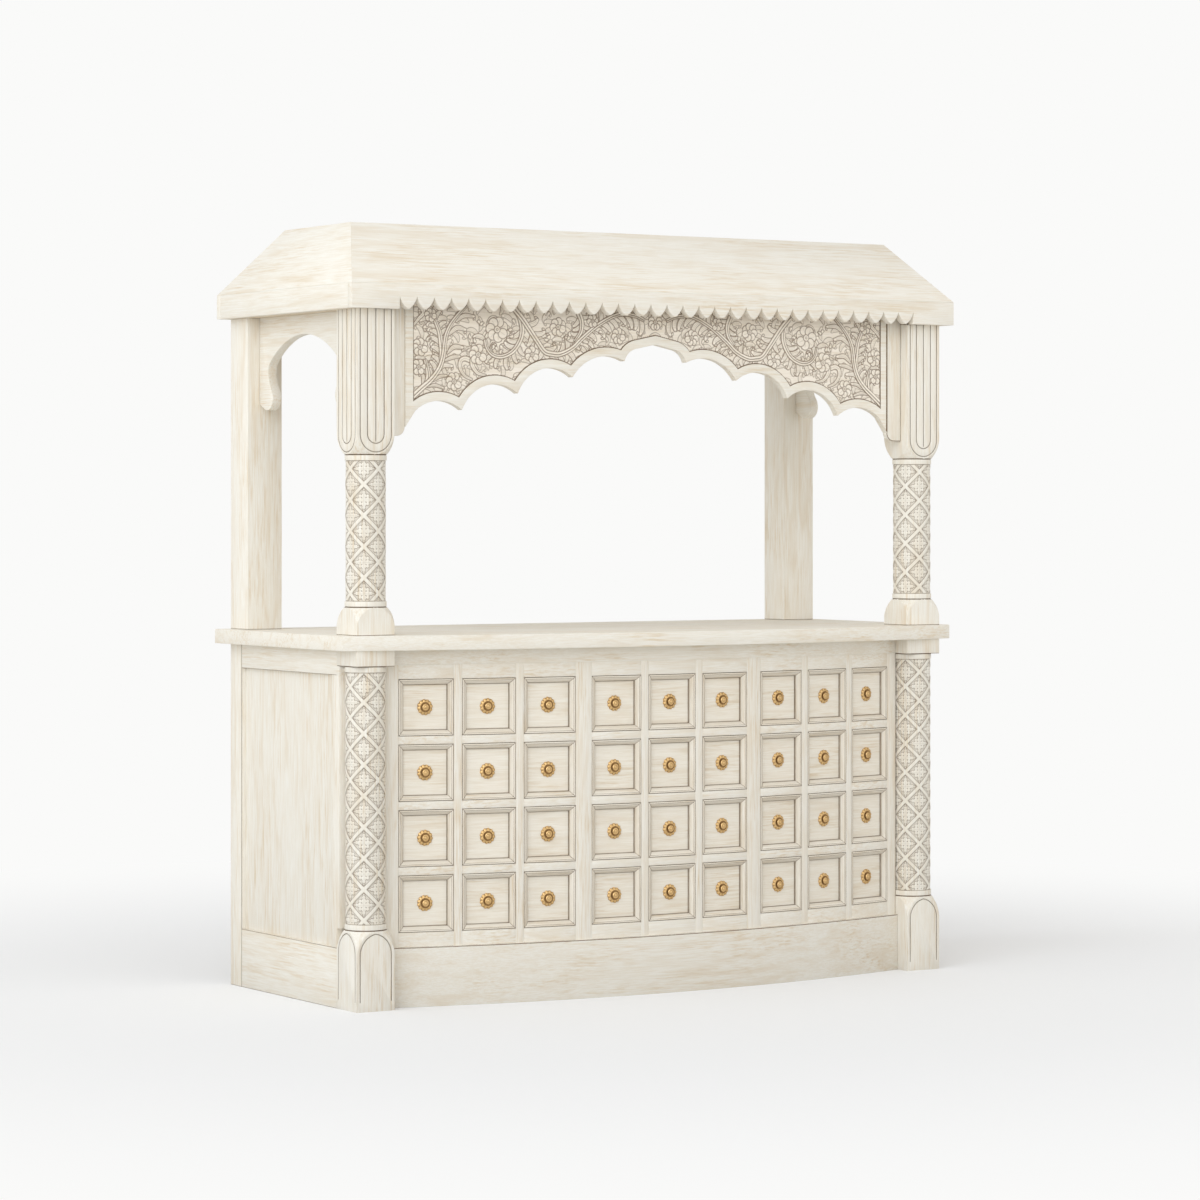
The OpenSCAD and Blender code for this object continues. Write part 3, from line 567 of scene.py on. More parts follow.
def post_blocks(node, seed, span, lines, grooves):
    """The blocks and rings of the two posts, open where the carved shaft goes, then closed."""
    piece = copy_of(node, node + "_blocks")
    points = points_of(piece.data)
    radius = radii_of(points)[0]
    on_shaft = (np.abs(radius - SHAFT_R) < 0.3 * MM) & (points[:, 2] > span[0] - 0.1 * MM)
    on_shaft &= points[:, 2] < span[1] + 0.1 * MM
    open_chosen(piece, faces_among(piece.data, on_shaft))
    bpy.ops.mesh.delete(type="FACE")
    select_whole()
    bpy.ops.mesh.fill_holes(sides=0)
    close_mesh()
    for z in lines:
        for step in (-LINE_HALF, 0, LINE_HALF):
            split_level(piece, z + step)
    foot = COUNTER_H + JOINT_LINE
    split_level(piece, foot)
    points = points_of(piece.data)
    radius, dx, dy = radii_of(points)
    for z in lines:
        cut = (np.abs(points[:, 2] - z) < 0.05 * MM) & (radius > RING_LINE_R[0])
        shrink = 1 - LINE_DEPTH / radius[cut]
        side = np.sign(points[cut, 0])
        points[cut, 0] = side * (POST_X + dx[cut] * shrink)
        points[cut, 1] = POST_Y + dy[cut] * shrink
    move_points(piece.data, points)
    soften(piece, 1.0 * MM)
    centres, normals = faces_of(piece.data)
    z = centres[:, 2]
    radius, dx, dy = radii_of(centres)
    offsets = np.abs(np.stack([dx, dy], 1))
    far, near = offsets.max(1), offsets.min(1)
    out = np.abs(normals[np.arange(len(z)), offsets.argmax(1)])
    floors = (far < GROOVE_FLOOR) & (out > 0.98)
    sides = (far > GROOVE_SIDES[0]) & (far < GROOVE_SIDES[1]) & (out < 0.25)
    grooved = (z > grooves[0]) & (z < grooves[1]) & (near < GROOVED_HALF_W) & (floors | sides)
    at_line = (np.abs(z[:, None] - lines).min(1) < 1.5 * MM) & (radius < RING_LINE_R[1])
    at_foot = (z > COUNTER_H) & (z < foot) & (np.abs(normals[:, 2]) < 0.95)
    # Glazing and painted shade: in the grooves, in the rings' turned lines, and a dark line at the
    # foot
    tint_and_shade = np.where(grooved, 0.55, np.where(at_line, 0.95, np.where(at_foot, 0.8, 0)))
    store(piece.data, "edge_wash", tint_and_shade, "FACE")
    finish_board(piece, node, seed, 2)


LATTICE_ARC = SHAFT_R * math.pi / 4
LATTICE_RISE = 43.535 * MM
LATTICE_TURN = math.radians(33.5)
LATTICE_CROSSING_Z = 1.473
BAND_HALF = 5.4 * MM
RELIEF = 2.2 * MM
COLLAR_DEPTH = 1.8 * MM
SHAFT_STEP = 1.72 * MM
SHAFT_COLUMNS = 208
# Lobes of a quarter of the flower: place along and across, and radius, in millimetres
FLOWER_LOBES = ((0, 0, 7.5), (11.5, 0, 7.6), (0, 11.5, 7.6), (21.5, 0, 5.6), (0, 21.5, 5.6),
                (11.0, 11.0, 5.4), (29.5, 0, 3.0), (0, 29.5, 3.0))


def lattice(arc, rise):
    """Depth below the shaft's surface, and share of glazing and painted shade, for flat bands
    crossing over flowers.
    """
    u = arc / LATTICE_ARC
    v = rise / LATTICE_RISE
    across = 1 / math.hypot(1 / LATTICE_ARC, 1 / LATTICE_RISE)
    plus, minus = u + v, u - v
    from_band = np.minimum(np.abs(plus - 2 * np.round(plus / 2)),
                           np.abs(minus - 2 * np.round(minus / 2))) * across
    plus_mid = 2 * np.floor(plus / 2) + 1
    minus_mid = 2 * np.floor(minus / 2) + 1
    x = np.abs(u - (plus_mid + minus_mid) / 2) * LATTICE_ARC / MM
    z = np.abs(v - (plus_mid - minus_mid) / 2) * LATTICE_RISE / MM
    inside = np.full_like(x, -9.0)
    dome = np.zeros_like(x)
    for lobe_x, lobe_z, size in FLOWER_LOBES:
        gap = size - np.hypot(x - lobe_x, z - lobe_z)
        inside = np.maximum(inside, gap)
        dome = np.maximum(dome, np.clip(gap / size, 0, 1) * (0.65 + 0.35 * size / 7.6))
    veins = np.exp(-(np.minimum(x, z) / 0.8) ** 2) * (inside > 1.0)
    in_band = np.clip((BAND_HALF - from_band) / (0.9 * MM) + 0.5, 0, 1)
    flower = np.sqrt(np.clip(dome * 1.6, 0, 1)) * np.clip(inside / 1.2 + 0.5, 0, 1)
    depth = RELIEF * (1 - in_band) * (1 - 0.78 * flower) + 0.5 * MM * veins * (1 - in_band)
    rim = np.exp(-((from_band - BAND_HALF - 0.6 * MM) / (0.9 * MM)) ** 2)
    outline = np.exp(-((inside + 0.3) / 0.85) ** 2)
    ground = 0.16 * (1 - in_band) * (inside < 0)
    tint_and_shade = np.maximum.reduce([0.95 * rim, 0.95 * outline * (1 - in_band), ground,
                               0.22 * veins * (1 - in_band)])
    return depth, tint_and_shade


def carved_shaft(name, side, span, seed):
    low, high = span[0] - 0.2 * MM, span[1] + 0.2 * MM
    piece = add_grid(name, SHAFT_COLUMNS, round((high - low) / SHAFT_STEP))
    grid = points_of(piece.data)
    turn = (grid[:, 0] + 0.5) * 2 * math.pi
    z = low + (grid[:, 1] + 0.5) * (high - low)
    depth, tint_and_shade = lattice(turn * SHAFT_R, z - LATTICE_CROSSING_Z)
    # Painted shade with glazing: a dark, sunk line at each end of the shaft, beside the rings
    to_end = np.minimum(z - low, high - z)
    collar = np.clip(1.6 - to_end / (1.6 * MM), 0, 1)
    depth = np.maximum(depth, COLLAR_DEPTH * collar)
    tint_and_shade = np.maximum(tint_and_shade, 0.85 * collar)
    radius = SHAFT_R - depth
    angle = LATTICE_TURN + turn
    x = side * (POST_X + radius * np.sin(angle))
    y = POST_Y - radius * np.cos(angle)
    move_points(piece.data, np.stack([x, y, z], 1))
    grain = np.stack([z, SHAFT_R * np.sin(angle), SHAFT_R * np.cos(angle)], 1)
    store(piece.data, "grain_co", grain + np.random.default_rng(seed).uniform(-6, 6, 3))
    store(piece.data, "wash", tint_and_shade)
    open_mesh(piece)
    merge_points()
    bpy.ops.mesh.fill_holes(sides=0)
    turn_outwards()
    close_mesh()
    smooth(piece, 60)
    finish(piece, "lower_posts" if span == LOWER_SHAFT else "upper_columns")


post_blocks("lower_posts", 31, LOWER_SHAFT, (0.225, 0.963), (0.004, 0.2195))
post_blocks("upper_columns", 32, UPPER_SHAFT, (1.1295, 1.556), (1.558, 1.962))
for side, word in ((-1, "left"), (1, "right")):
    carved_shaft("lower_shaft_" + word, side, LOWER_SHAFT, 33 + side)
    carved_shaft("upper_shaft_" + word, side, UPPER_SHAFT, 37 + side)


# Drawers: one is finished from its CAD solids, and the others are turned copies of it

FRONT_HALF_W = 79.97 * MM
FRONT_HALF_H = 79.31 * MM
MOULDING_W = 14.5 * MM
MOULDING_FLAT = 4.5 * MM
PANEL_DEPTH = 16.0 * MM
MOULDING_DROP = 10.0 * MM
# Splits of the panel beside its moulding, between which the glaze fades
PANEL_LINES = (0.9 * MM, 2.6 * MM)
KNOB_REACH = 60 * MM
KNOB_CENTRE_Z = 80.3125 * MM
turns = {}
for joint in frame["joints"]:
    axis = joint["axis"]
    turns[joint["name"].replace("slide_", "")] = math.atan2(axis[0], -axis[1])


def drawer_place(row, column):
    turn = turns[f"r{row}_c{column}"]
    foot = (FACE_R * math.sin(turn), FACE_CENTRE_Y - FACE_R * math.cos(turn), ROW_Z[row])
    return Matrix.Translation(foot) @ Matrix.Rotation(turn, 4, "Z")


def drawer_template():
    """One drawer at the face's own origin: mouldings, panel and box, without its knob."""
    piece = copy_of("drawer_r1_c5", "drawer_template")
    piece.data.transform(drawer_place(1, 5).inverted())
    points = points_of(piece.data)
    label = islands_of(piece.data)
    knob_parts = np.zeros(len(points), dtype=bool)
    for island in np.unique(label):
        at = label == island
        size = np.ptp(points[at], axis=0)
        if points[at, 1].max() < PANEL_DEPTH + 0.5 * MM and max(size[0], size[2]) < KNOB_REACH:
            knob_parts |= at
    open_chosen(piece, knob_parts, "VERT")
    bpy.ops.mesh.delete(type="VERT")
    close_mesh()
    for half, centre, normal in ((FRONT_HALF_W, 0, (1, 0, 0)),
                                 (FRONT_HALF_H, KNOB_CENTRE_Z, (0, 0, 1))):
        for inset in PANEL_LINES:
            for sign in (-1, 1):
                cut = centre + sign * (half - MOULDING_W - inset)
                on_panel = np.abs(points_of(piece.data)[:, 1] - PANEL_DEPTH) < 0.05 * MM
                open_chosen(piece, faces_among(piece.data, on_panel))
                bpy.ops.mesh.bisect(plane_co=(cut, 0, cut), plane_no=normal)
                close_mesh()
    rounded = soften(piece, 0.65 * MM, 35)
    tint_and_shade_edges(piece, rounded, moulding_edges)
    points = points_of(piece.data)
    rim = rim_distance(points)
    depth = points[:, 1]
    tint_and_shade = np.zeros(len(points))
    # Painted shade with glazing, darker deeper into the recess: on the slopes, on the walls and on
    # the panel beside the moulding
    slope = (depth > 1.3 * MM) & (depth < MOULDING_DROP + 0.6 * MM) & (rim > MOULDING_FLAT)
    tint_and_shade[slope] = 0.04 + 0.12 * (depth[slope] / MOULDING_DROP)
    wall = (depth >= MOULDING_DROP + 0.6 * MM) & (depth < PANEL_DEPTH) & (rim > 2 * MM)
    tint_and_shade[wall] = 0.35 + 0.5 * (depth[wall] - MOULDING_DROP) / (PANEL_DEPTH - MOULDING_DROP)
    on_panel = np.abs(depth - PANEL_DEPTH) < 0.05 * MM
    tint_and_shade[on_panel & (rim < MOULDING_W + 1.3 * MM)] = 0.8
    tint_and_shade[depth > 30 * MM] = 0
    store(piece.data, "wash", tint_and_shade)
    smooth(piece)
    return piece


def rim_distance(points):
    """Distance in from the outline of the drawer front."""
    return np.minimum(FRONT_HALF_W - np.abs(points[:, 0]),
                      FRONT_HALF_H - np.abs(points[:, 2] - KNOB_CENTRE_Z))


def moulding_edges(centres, normals):
    """Dark glazing with painted shade in the front's edges: most round its outline, least where its
    mouldings end.
    """
    rim = rim_distance(centres)
    inner = np.abs(rim - MOULDING_W) < 1 * MM
    share = np.where(rim < 1 * MM, 0.95, np.where(inner, 0.6, 0.75))
    return np.where(centres[:, 1] < PANEL_DEPTH, share, 0)


def drawer_order(size):
    """Grain along the box's sides, upright on upright mouldings, and along x on the rest."""
    if size[1] > 150 * MM:
        return [1, 0, 2]
    return [0, 1, 2] if size[0] >= size[2] or size[1] > 60 * MM else [2, 0, 1]


ROSETTE_R = 22.9
# Inset and rise of each ring of the rosette, from its rim to the knob's neck, in millimetres
KNOB_RINGS = ((1.2, 1.3), (2.4, 1.0), (3.2, 0.9), (1.6, 0.2), (0.8, -1.4), (2.4, -0.3))
# Radius and rise of each ring of the knob's head, from its neck to its middle, in millimetres
KNOB_HEAD = ((7.0, 0.0), (7.2, 1.6), (8.6, 1.3), (9.6, 0.9), (9.9, 0.9), (9.3, 1.1), (8.0, 0.9),
             (6.4, 0.6), (5.4, -0.5), (4.4, -0.2), (3.4, 0.7), (1.4, 0.5))
PETALS = 12


def knob_template():
    """A petalled rosette with a turned knob, its foot at the origin and its front towards -Y."""
    piece = add_shape("knob_template", bpy.ops.mesh.primitive_cylinder_add, vertices=6 * PETALS,
                      radius=ROSETTE_R * MM, depth=2 * MM, location=(0, 0, 1.1 * MM))
    bpy.ops.object.transform_apply(location=True)
    open_chosen(piece, faces_of(piece.data)[1][:, 2] > 0.9)
    for thickness, rise in KNOB_RINGS:
        bpy.ops.mesh.inset(thickness=thickness * MM, depth=rise * MM)
    reach = ROSETTE_R - sum(thickness for thickness, rise in KNOB_RINGS)
    for radius, rise in KNOB_HEAD:
        bpy.ops.mesh.extrude_region_move(TRANSFORM_OT_translate={"value": (0, 0, rise * MM)})
        bpy.ops.transform.resize(value=(radius / reach, radius / reach, 1))
        reach = radius
    merge_points()
    turn_outwards()
    close_mesh()
    points = points_of(piece.data)
    radius = np.hypot(points[:, 0], points[:, 1])
    around = np.arctan2(points[:, 1], points[:, 0])
    valley = 1 - np.abs(np.sin(PETALS / 2 * around))
    petal = np.clip((radius - 14.0 * MM) / (6 * MM), 0, 1)
    shrink = 1 - 0.09 * valley * petal ** 2
    points[:, :2] *= shrink[:, None]
    high = points[:, 2] > 1.5 * MM
    points[:, 2] -= np.where(high, 0.8 * MM * valley * petal, 0)
    # Patina in the petals' valleys; the knob's neck and the rosette's middle dark with patina and
    # painted shade; the head light, with patina in its ring groove and none at its centre
    tint_and_shade = np.where(radius > 13.8 * MM, 0.10 + 0.75 * valley ** 2 * petal, 0.75)
    raised = points[:, 2] > 7.5 * MM
    tint_and_shade = np.where((radius < 10.2 * MM) & raised, 0.12, tint_and_shade)
    tint_and_shade = np.where((radius > 4.0 * MM) & (radius < 5.9 * MM) & raised, 0.50, tint_and_shade)
    tint_and_shade = np.where((radius < 3.6 * MM) & raised, 0.0, tint_and_shade)
    store(piece.data, "wash", tint_and_shade)
    placed = np.stack([points[:, 0], PANEL_DEPTH - points[:, 2], points[:, 1] + KNOB_CENTRE_Z], 1)
    move_points(piece.data, placed)
    smooth(piece, 50)
    return piece


drawer = drawer_template()
drawer_points = points_of(drawer.data)
drawer_label = islands_of(drawer.data)
knob = knob_template()
drawer_random = np.random.default_rng(71)
for row in range(1, 5):
    for column in range(1, 10):
        node = f"drawer_r{row}_c{column}"
        place = drawer_place(row, column)
        front = add_object(node + "_finished", drawer.data.copy())
        pull = add_object(node + "_knob", knob.data.copy())
        grain = grain_of(drawer_points, drawer_label, drawer_random, drawer_order)
        store(front.data, "grain_co", grain)
        turned = Matrix.Rotation(drawer_random.uniform(-0.2, 0.2), 4, "Y")
        centre = Matrix.Translation((0, 0, KNOB_CENTRE_Z))
        front.data.transform(place)
        pull.data.transform(place @ centre @ turned @ centre.inverted())
        finish(front, node, drawer_whitewash, "drawer_wood", node)
        finish(pull, node, brass, "brass", node)
for template in (drawer, knob):
    bpy.data.objects.remove(template, do_unlink=True)


# Arch panel: a smooth cusped border round a field of carved vines

ARCH_HALF_W = 0.836
CROWN_HALF_W = 0.107
CROWN_DROP = 0.130
CROWN_RISE = 0.051
SHOULDER_R = 0.052
SHOULDER_DROP = 0.014
CROWN_SLOPE = math.radians(11.8)
ARCH_DROP = 0.329
FOILS = 4
FOIL_W = 0.184
FOIL_DROP = (ARCH_DROP - CROWN_DROP) / FOILS
FIRST_FOIL_RISE = 0.035
FOIL_RISE = 0.048
BORDER_W = 0.025
FIELD_TOP_Z = CANOPY_Z + 0.043
# Depth of the carving's ground behind the border's face, and height of the tallest forms on it
CARVING_GROUND = 3.6 * MM
CARVING_HEIGHT = 3.3 * MM
CARVING_STEP = 1.35 * MM
# The painted shadow line along the arch's right end begins here
RIGHT_SHADOW_X = ARCH_HALF_W - 5.4 * MM


def cusp(i):
    across = CROWN_HALF_W if i == 0 else ARCH_HALF_W - (FOILS - i) * FOIL_W
    return across, CANOPY_Z - CROWN_DROP - i * FOIL_DROP


def in_field(x, z, grow=0.0):
    """Whether points are in the carved field, left or right, grown outwards by grow."""
    x = np.abs(x)
    g = BORDER_W - grow
    opening = np.zeros(x.shape, dtype=bool)
    for i in range(FOILS):
        (x0, z0), (x1, z1) = cusp(i), cusp(i + 1)
        chord = math.hypot(x1 - x0, z1 - z0)
        rise = FIRST_FOIL_RISE if i == 0 else FOIL_RISE
        foil_r = ((chord / 2) ** 2 + rise ** 2) / (2 * rise)
        lean = (foil_r - rise) / chord
        centre_x = (x0 + x1) / 2 - lean * (z0 - z1)
        centre_z = (z0 + z1) / 2 - lean * (x1 - x0)
        opening |= np.hypot(x - centre_x, z - centre_z) < foil_r + g
        line = z0 + (x - x0) / (x1 - x0) * (z1 - z0) + g / 2
        opening |= (x >= x0) & (x <= x1) & (z < line)
    shoulder_x = CROWN_HALF_W - math.sqrt(SHOULDER_R ** 2 - SHOULDER_DROP ** 2)
    shoulder_z = CANOPY_Z - CROWN_DROP - SHOULDER_DROP
    opening |= np.hypot(x - shoulder_x, z - shoulder_z) < SHOULDER_R + g
    slope = CANOPY_Z - CROWN_DROP + CROWN_RISE + g / math.cos(CROWN_SLOPE) - x * math.tan(CROWN_SLOPE)
    opening |= (x < shoulder_x + 0.3 * SHOULDER_R) & (z < slope)
    opening |= (x < CROWN_HALF_W) & (z < shoulder_z)
    return ~opening & (x < ARCH_HALF_W - BORDER_W + grow)


class Relief:
    """Height, and dark glazing with painted shade, on a flat sheet, laid on like carving, each stroke
    over the ones before.
    """

    def __init__(self, low, high, step):
        self.low, self.step = low, step
        self.shape = tuple(int(round((b - a) / step)) + 1 for a, b in zip(low, high))
        self.x = low[0] + step * np.arange(self.shape[0])[:, None] + np.zeros(self.shape)
        self.z = low[1] + step * np.arange(self.shape[1])[None, :] + np.zeros(self.shape)
        self.height = np.zeros(self.shape)
        self.tint_and_shade = np.full(self.shape, 0.06)

    def window(self, points, reach):
        """The part of the sheet within reach of a few points."""
        parts = []
        for axis in (0, 1):
            low = (points[:, axis].min() - reach - self.low[axis]) / self.step
            high = (points[:, axis].max() + reach - self.low[axis]) / self.step
            parts.append(slice(max(0, int(low)), max(0, int(high) + 2)))
        return tuple(parts)

    def lay(self, part, gap, top, round_over, ink, body_darkness):
        """Lays a form on the sheet where gap is below nothing, with a dark line round it."""
        inside = gap < 0
        share = np.clip(-gap / round_over, 0, 1)
        dome = top * (0.35 + 0.65 * np.sqrt(share * (2 - share)))
        line = ink * np.exp(-(np.minimum(gap - 0.3 * MM, 9) / (1.3 * MM)) ** 2)
        cut = np.exp(-(gap / (1.4 * MM)) ** 2)
        self.height[part] = np.where(inside, dome, self.height[part] * (1 - 0.8 * cut))
        self.tint_and_shade[part] = np.where(inside, np.maximum(body_darkness, line),
                                    np.maximum(self.tint_and_shade[part], line))

    def gap_to(self, part, path, widths):
        """Distance from a path with a half width at each of its points, below nothing inside it."""
        x, z = self.x[part], self.z[part]
        gap = np.full(x.shape, 9.0)
        for start, end, w0, w1 in zip(path[:-1], path[1:], widths[:-1], widths[1:]):
            dx, dz = end - start
            length = dx * dx + dz * dz + 1e-12
            along = np.clip(((x - start[0]) * dx + (z - start[1]) * dz) / length, 0, 1)
            away = np.hypot(x - start[0] - along * dx, z - start[1] - along * dz)
            gap = np.minimum(gap, away - (w0 + along * (w1 - w0)))
        return gap

    def stroke(self, path, widths, top, round_over, ink, body_darkness=0.0):
        """A rounded stroke along a path, with a half width at each of its points."""
        part = self.window(path, widths.max() + 4 * MM)
        self.lay(part, self.gap_to(part, path, widths), top, round_over, ink, body_darkness)

    def dot(self, centre, radius, *form):
        self.stroke(np.array([centre, centre + 1e-5]), np.full(2, radius), *form)

    def line(self, path, ink):
        """A scratched vein."""
        part = self.window(path, 4 * MM)
        mark = np.exp(-(self.gap_to(part, path, np.zeros(len(path))) / (0.9 * MM)) ** 2)
        self.height[part] -= 0.16 * mark
        self.tint_and_shade[part] = np.maximum(self.tint_and_shade[part], ink * mark)

    def flower(self, centre, radius, petals, turn):
        """Round petals that lap over each other, each with a vein, round a small bud."""
        for k in range(petals):
            angle = turn + 2 * math.pi * k / petals
            way = radius * np.array([math.cos(angle), math.sin(angle)])
            self.dot(centre + 0.60 * way, 0.40 * radius, 0.62, 0.16 * radius, 0.95, 0.05)
            self.line(np.array([centre + 0.25 * way, centre + 0.80 * way]), 0.4)
        self.dot(centre, 0.26 * radius, 0.85, 2.5 * MM, 0.9)
        self.dot(centre, 0.08 * radius, 0.95, 1.5 * MM, 0.7)


def on_arch(points):
    """Places on the arch's face of points in the photograph, in its 1200 pixels."""
    points = np.asarray(points, dtype=float)
    right = (points[:, 0] - 600) / PIXELS
    up = (HORIZON_PX - points[:, 1]) / PIXELS
    way_x = math.sin(CAMERA_TURN) + right * math.cos(CAMERA_TURN)
    way_y = math.cos(CAMERA_TURN) - right * math.sin(CAMERA_TURN)
    reach = (ARCH_FRONT_Y - CAMERA_AT[1]) / way_y
    return np.stack([CAMERA_AT[0] + reach * way_x, CAMERA_AT[2] + reach * up], 1)


def flowing(points, step=3 * MM):
    """A smooth path through a few points."""
    points = np.vstack([2 * points[0] - points[1], points, 2 * points[-1] - points[-2]])
    path = []
    for a, b, c, d in zip(points[:-3], points[1:-2], points[2:-1], points[3:]):
        count = max(2, int(np.linalg.norm(c - b) / step))
        for t in np.arange(count) / count:
            path.append(0.5 * (2 * b + (c - a) * t + (2 * a - 5 * b + 4 * c - d) * t ** 2
                               + (3 * b - a - 3 * c + d) * t ** 3))
    path.append(points[-2])
    return np.array(path)


def bent(start, heading, turn, length, count=7):
    """A path that starts on a heading and turns evenly along its length."""
    path = [np.array(start, dtype=float)]
    for k in range(count):
        angle = heading + turn * (k + 0.5) / count
        path.append(path[-1] + length / count * np.array([math.cos(angle), math.sin(angle)]))
    return np.array(path)


def ways_of(path):
    """The unit tangents and normals of a path."""
    way = np.gradient(path, axis=0)
    way /= np.linalg.norm(way, axis=1)[:, None] + 1e-9
    return way, np.stack([-way[:, 1], way[:, 0]], 1)


def comma(sheet, start, heading, turn, length, size, top=0.72):
    """A small curl that is thin at its stem and ends round."""
    path = bent(start, heading, turn, length)
    share = np.linspace(0, 1, len(path))
    sheet.stroke(path, size * (0.22 + 0.78 * share ** 0.8), top, size * 0.9, 0.9)


def feather(sheet, path, size, side, top=0.8, ink=0.95):
    """A long plume: narrow at its stem, a full back, veins along it and a curled tip."""
    share = np.linspace(0, 1, len(path))
    widths = size * (0.25 + 0.75 * np.sin(math.pi * share ** 0.9 * 0.86) ** 0.8)
    way, normal = ways_of(path)
    curl = bent(path[-1] - 0.5 * size * way[-1], math.atan2(way[-1][1], way[-1][0]),
                side * 2.4, 1.9 * size)
    sheet.stroke(curl, np.linspace(0.70, 0.34, len(curl)) * size, top, size, ink)
    sheet.stroke(path, widths, top, size, ink)
    for offset, strength in ((0.30, 0.55), (-0.30, 0.40)):
        vein = path + side * offset * widths[:, None] * normal
        sheet.line(vein[1:-1], strength * ink)


def leaves_along(sheet, path, side, gap, length, size, random, start, end):
    """A comb of leaves on one side of a stem, that bend away from it."""
    steps = np.linalg.norm(np.diff(path, axis=0), axis=1)
    run = np.concatenate([[0], np.cumsum(steps)])
    total = run[-1]
    for at in np.arange(end * total, start * total, -gap):
        k = max(min(int(np.searchsorted(run, at)), len(path) - 1), 1)
        heading = math.atan2(*(path[k] - path[k - 1])[::-1])
        reach = length * random.uniform(0.85, 1.15)
        first = heading + side * math.radians(random.uniform(14, 26))
        leaf = bent(path[k], first, side * math.radians(random.uniform(60, 90)), reach, 9)
        feather(sheet, leaf, size, side)


def double_stem(sheet, path, width=8.0 * MM, taper=0.6):
    """Two strands side by side."""
    normal = ways_of(path)[1]
    share = np.linspace(1, taper, len(path))[:, None]
    for side in (-1, 1):
        strand = path + side * 0.5 * width * share * normal
        sheet.stroke(strand, 0.5 * width * share[:, 0] + 0.3 * MM, 0.98, 2 * MM, 0.98)


# What grows on the left half, by its places in the photograph
STEMS = {
    "corner": ((412, 397.5), (421, 389), (430.5, 380.5), (438, 371), (442, 362), (444, 353),
               (445, 344), (446.5, 335), (450.5, 325.5), (456.5, 317), (462.5, 310), (468, 304)),
    "branch": ((442, 359), (442, 350), (441, 341), (439.5, 331.5), (436, 322), (433, 314)),
    "inner": ((427, 384), (428.5, 376), (427.5, 368), (425.5, 360)),
    "scroll": ((514.5, 308), (520, 317), (522.5, 329), (520.5, 340), (513.5, 351),
               (503, 356.5), (493.5, 355), (487.5, 348), (485.5, 340)),
    "vine": ((515, 309), (523, 319), (531, 331), (537.5, 341), (545, 351.5), (553, 354),
             (561, 354), (573, 348), (583, 338), (597, 326), (612, 317), (623, 314),
             (636, 316), (644, 320)),
    "twig": ((579, 313), (582, 322), (581, 332), (575.5, 341))}
# Combs of leaves: their stem and its side, gap and length in metres, half width in
# millimetres, and where along the stem they start and end
COMBS = (("corner", 1, 0.027, 0.042, 6.8, 0.05, 0.45),
         ("branch", 1, 0.024, 0.048, 7.0, 0.02, 0.98),
         ("branch", -1, 0.024, 0.034, 6.2, 0.30, 0.98),
         ("inner", 1, 0.024, 0.034, 6.0, 0.02, 0.98),
         ("scroll", -1, 0.028, 0.044, 7.2, 0.15, 0.98),
         ("scroll", 1, 0.025, 0.040, 6.8, 0.25, 0.98),
         ("vine", 1, 0.029, 0.046, 7.4, 0.06, 0.97),
         ("vine", -1, 0.029, 0.046, 7.4, 0.10, 0.97),
         ("twig", 1, 0.025, 0.036, 6.2, 0.05, 0.9),
         ("twig", -1, 0.025, 0.036, 6.2, 0.05, 0.9))
CURLS = (((472, 379.5), (465, 375.5), (460.5, 368), (461, 361), (465, 358.5), (470, 360)),
         ((486, 375.5), (478, 373), (473, 366), (472.5, 360)),
         ((414, 325), (419, 318.5), (424, 312.5), (421, 306)))
# Leaves of the corner stem: three places along each, and its half width in millimetres
CORNER_LEAVES = ((((456.2, 322), (463.9, 315.8), (474.4, 316.3)), 7.0),
                 (((448.6, 335.4), (457.2, 327.8), (465.8, 329.7)), 7.6),
                 (((447.6, 353.6), (454.3, 346.9), (463, 347.5)), 7.6),
                 (((443.8, 361.2), (452.4, 357.4), (460.1, 356.5)), 6.4),
                 (((436.1, 375.6), (442.8, 366), (452.4, 366)), 7.6),
                 (((433.3, 381.3), (440, 376.6), (446.7, 375.6)), 5.6),
                 (((427.5, 387.1), (435.2, 385.2), (443.8, 388)), 5.2))
HOOKS = ((431.4, 323.4), (432.3, 328.7), (431.4, 338.3), (435.2, 343.1))
# Places, radii in pixels and numbers of petals
FLOWERS = ((431, 315, 6.4, 6), (420.5, 347, 8.2, 7), (419, 367, 7.4, 6), (454.5, 381.5, 8.4, 7),
           (478.5, 354.5, 9.4, 7), (497.5, 329.5, 11.6, 7), (532.5, 354.5, 7.8, 6),
           (558.5, 327, 8.6, 7), (593, 321, 6.2, 6), (619, 336, 7.6, 7))
BUDS = ((475.5, 338), (470.5, 334), (480, 325), (484.5, 323), (470, 343), (476.5, 345.5),
        (513, 331), (509.5, 336), (514.5, 324), (492, 348.5), (497, 351.5), (503, 350.5),
        (545, 338), (567, 339), (571, 332), (603, 334), (607, 342), (586, 331))


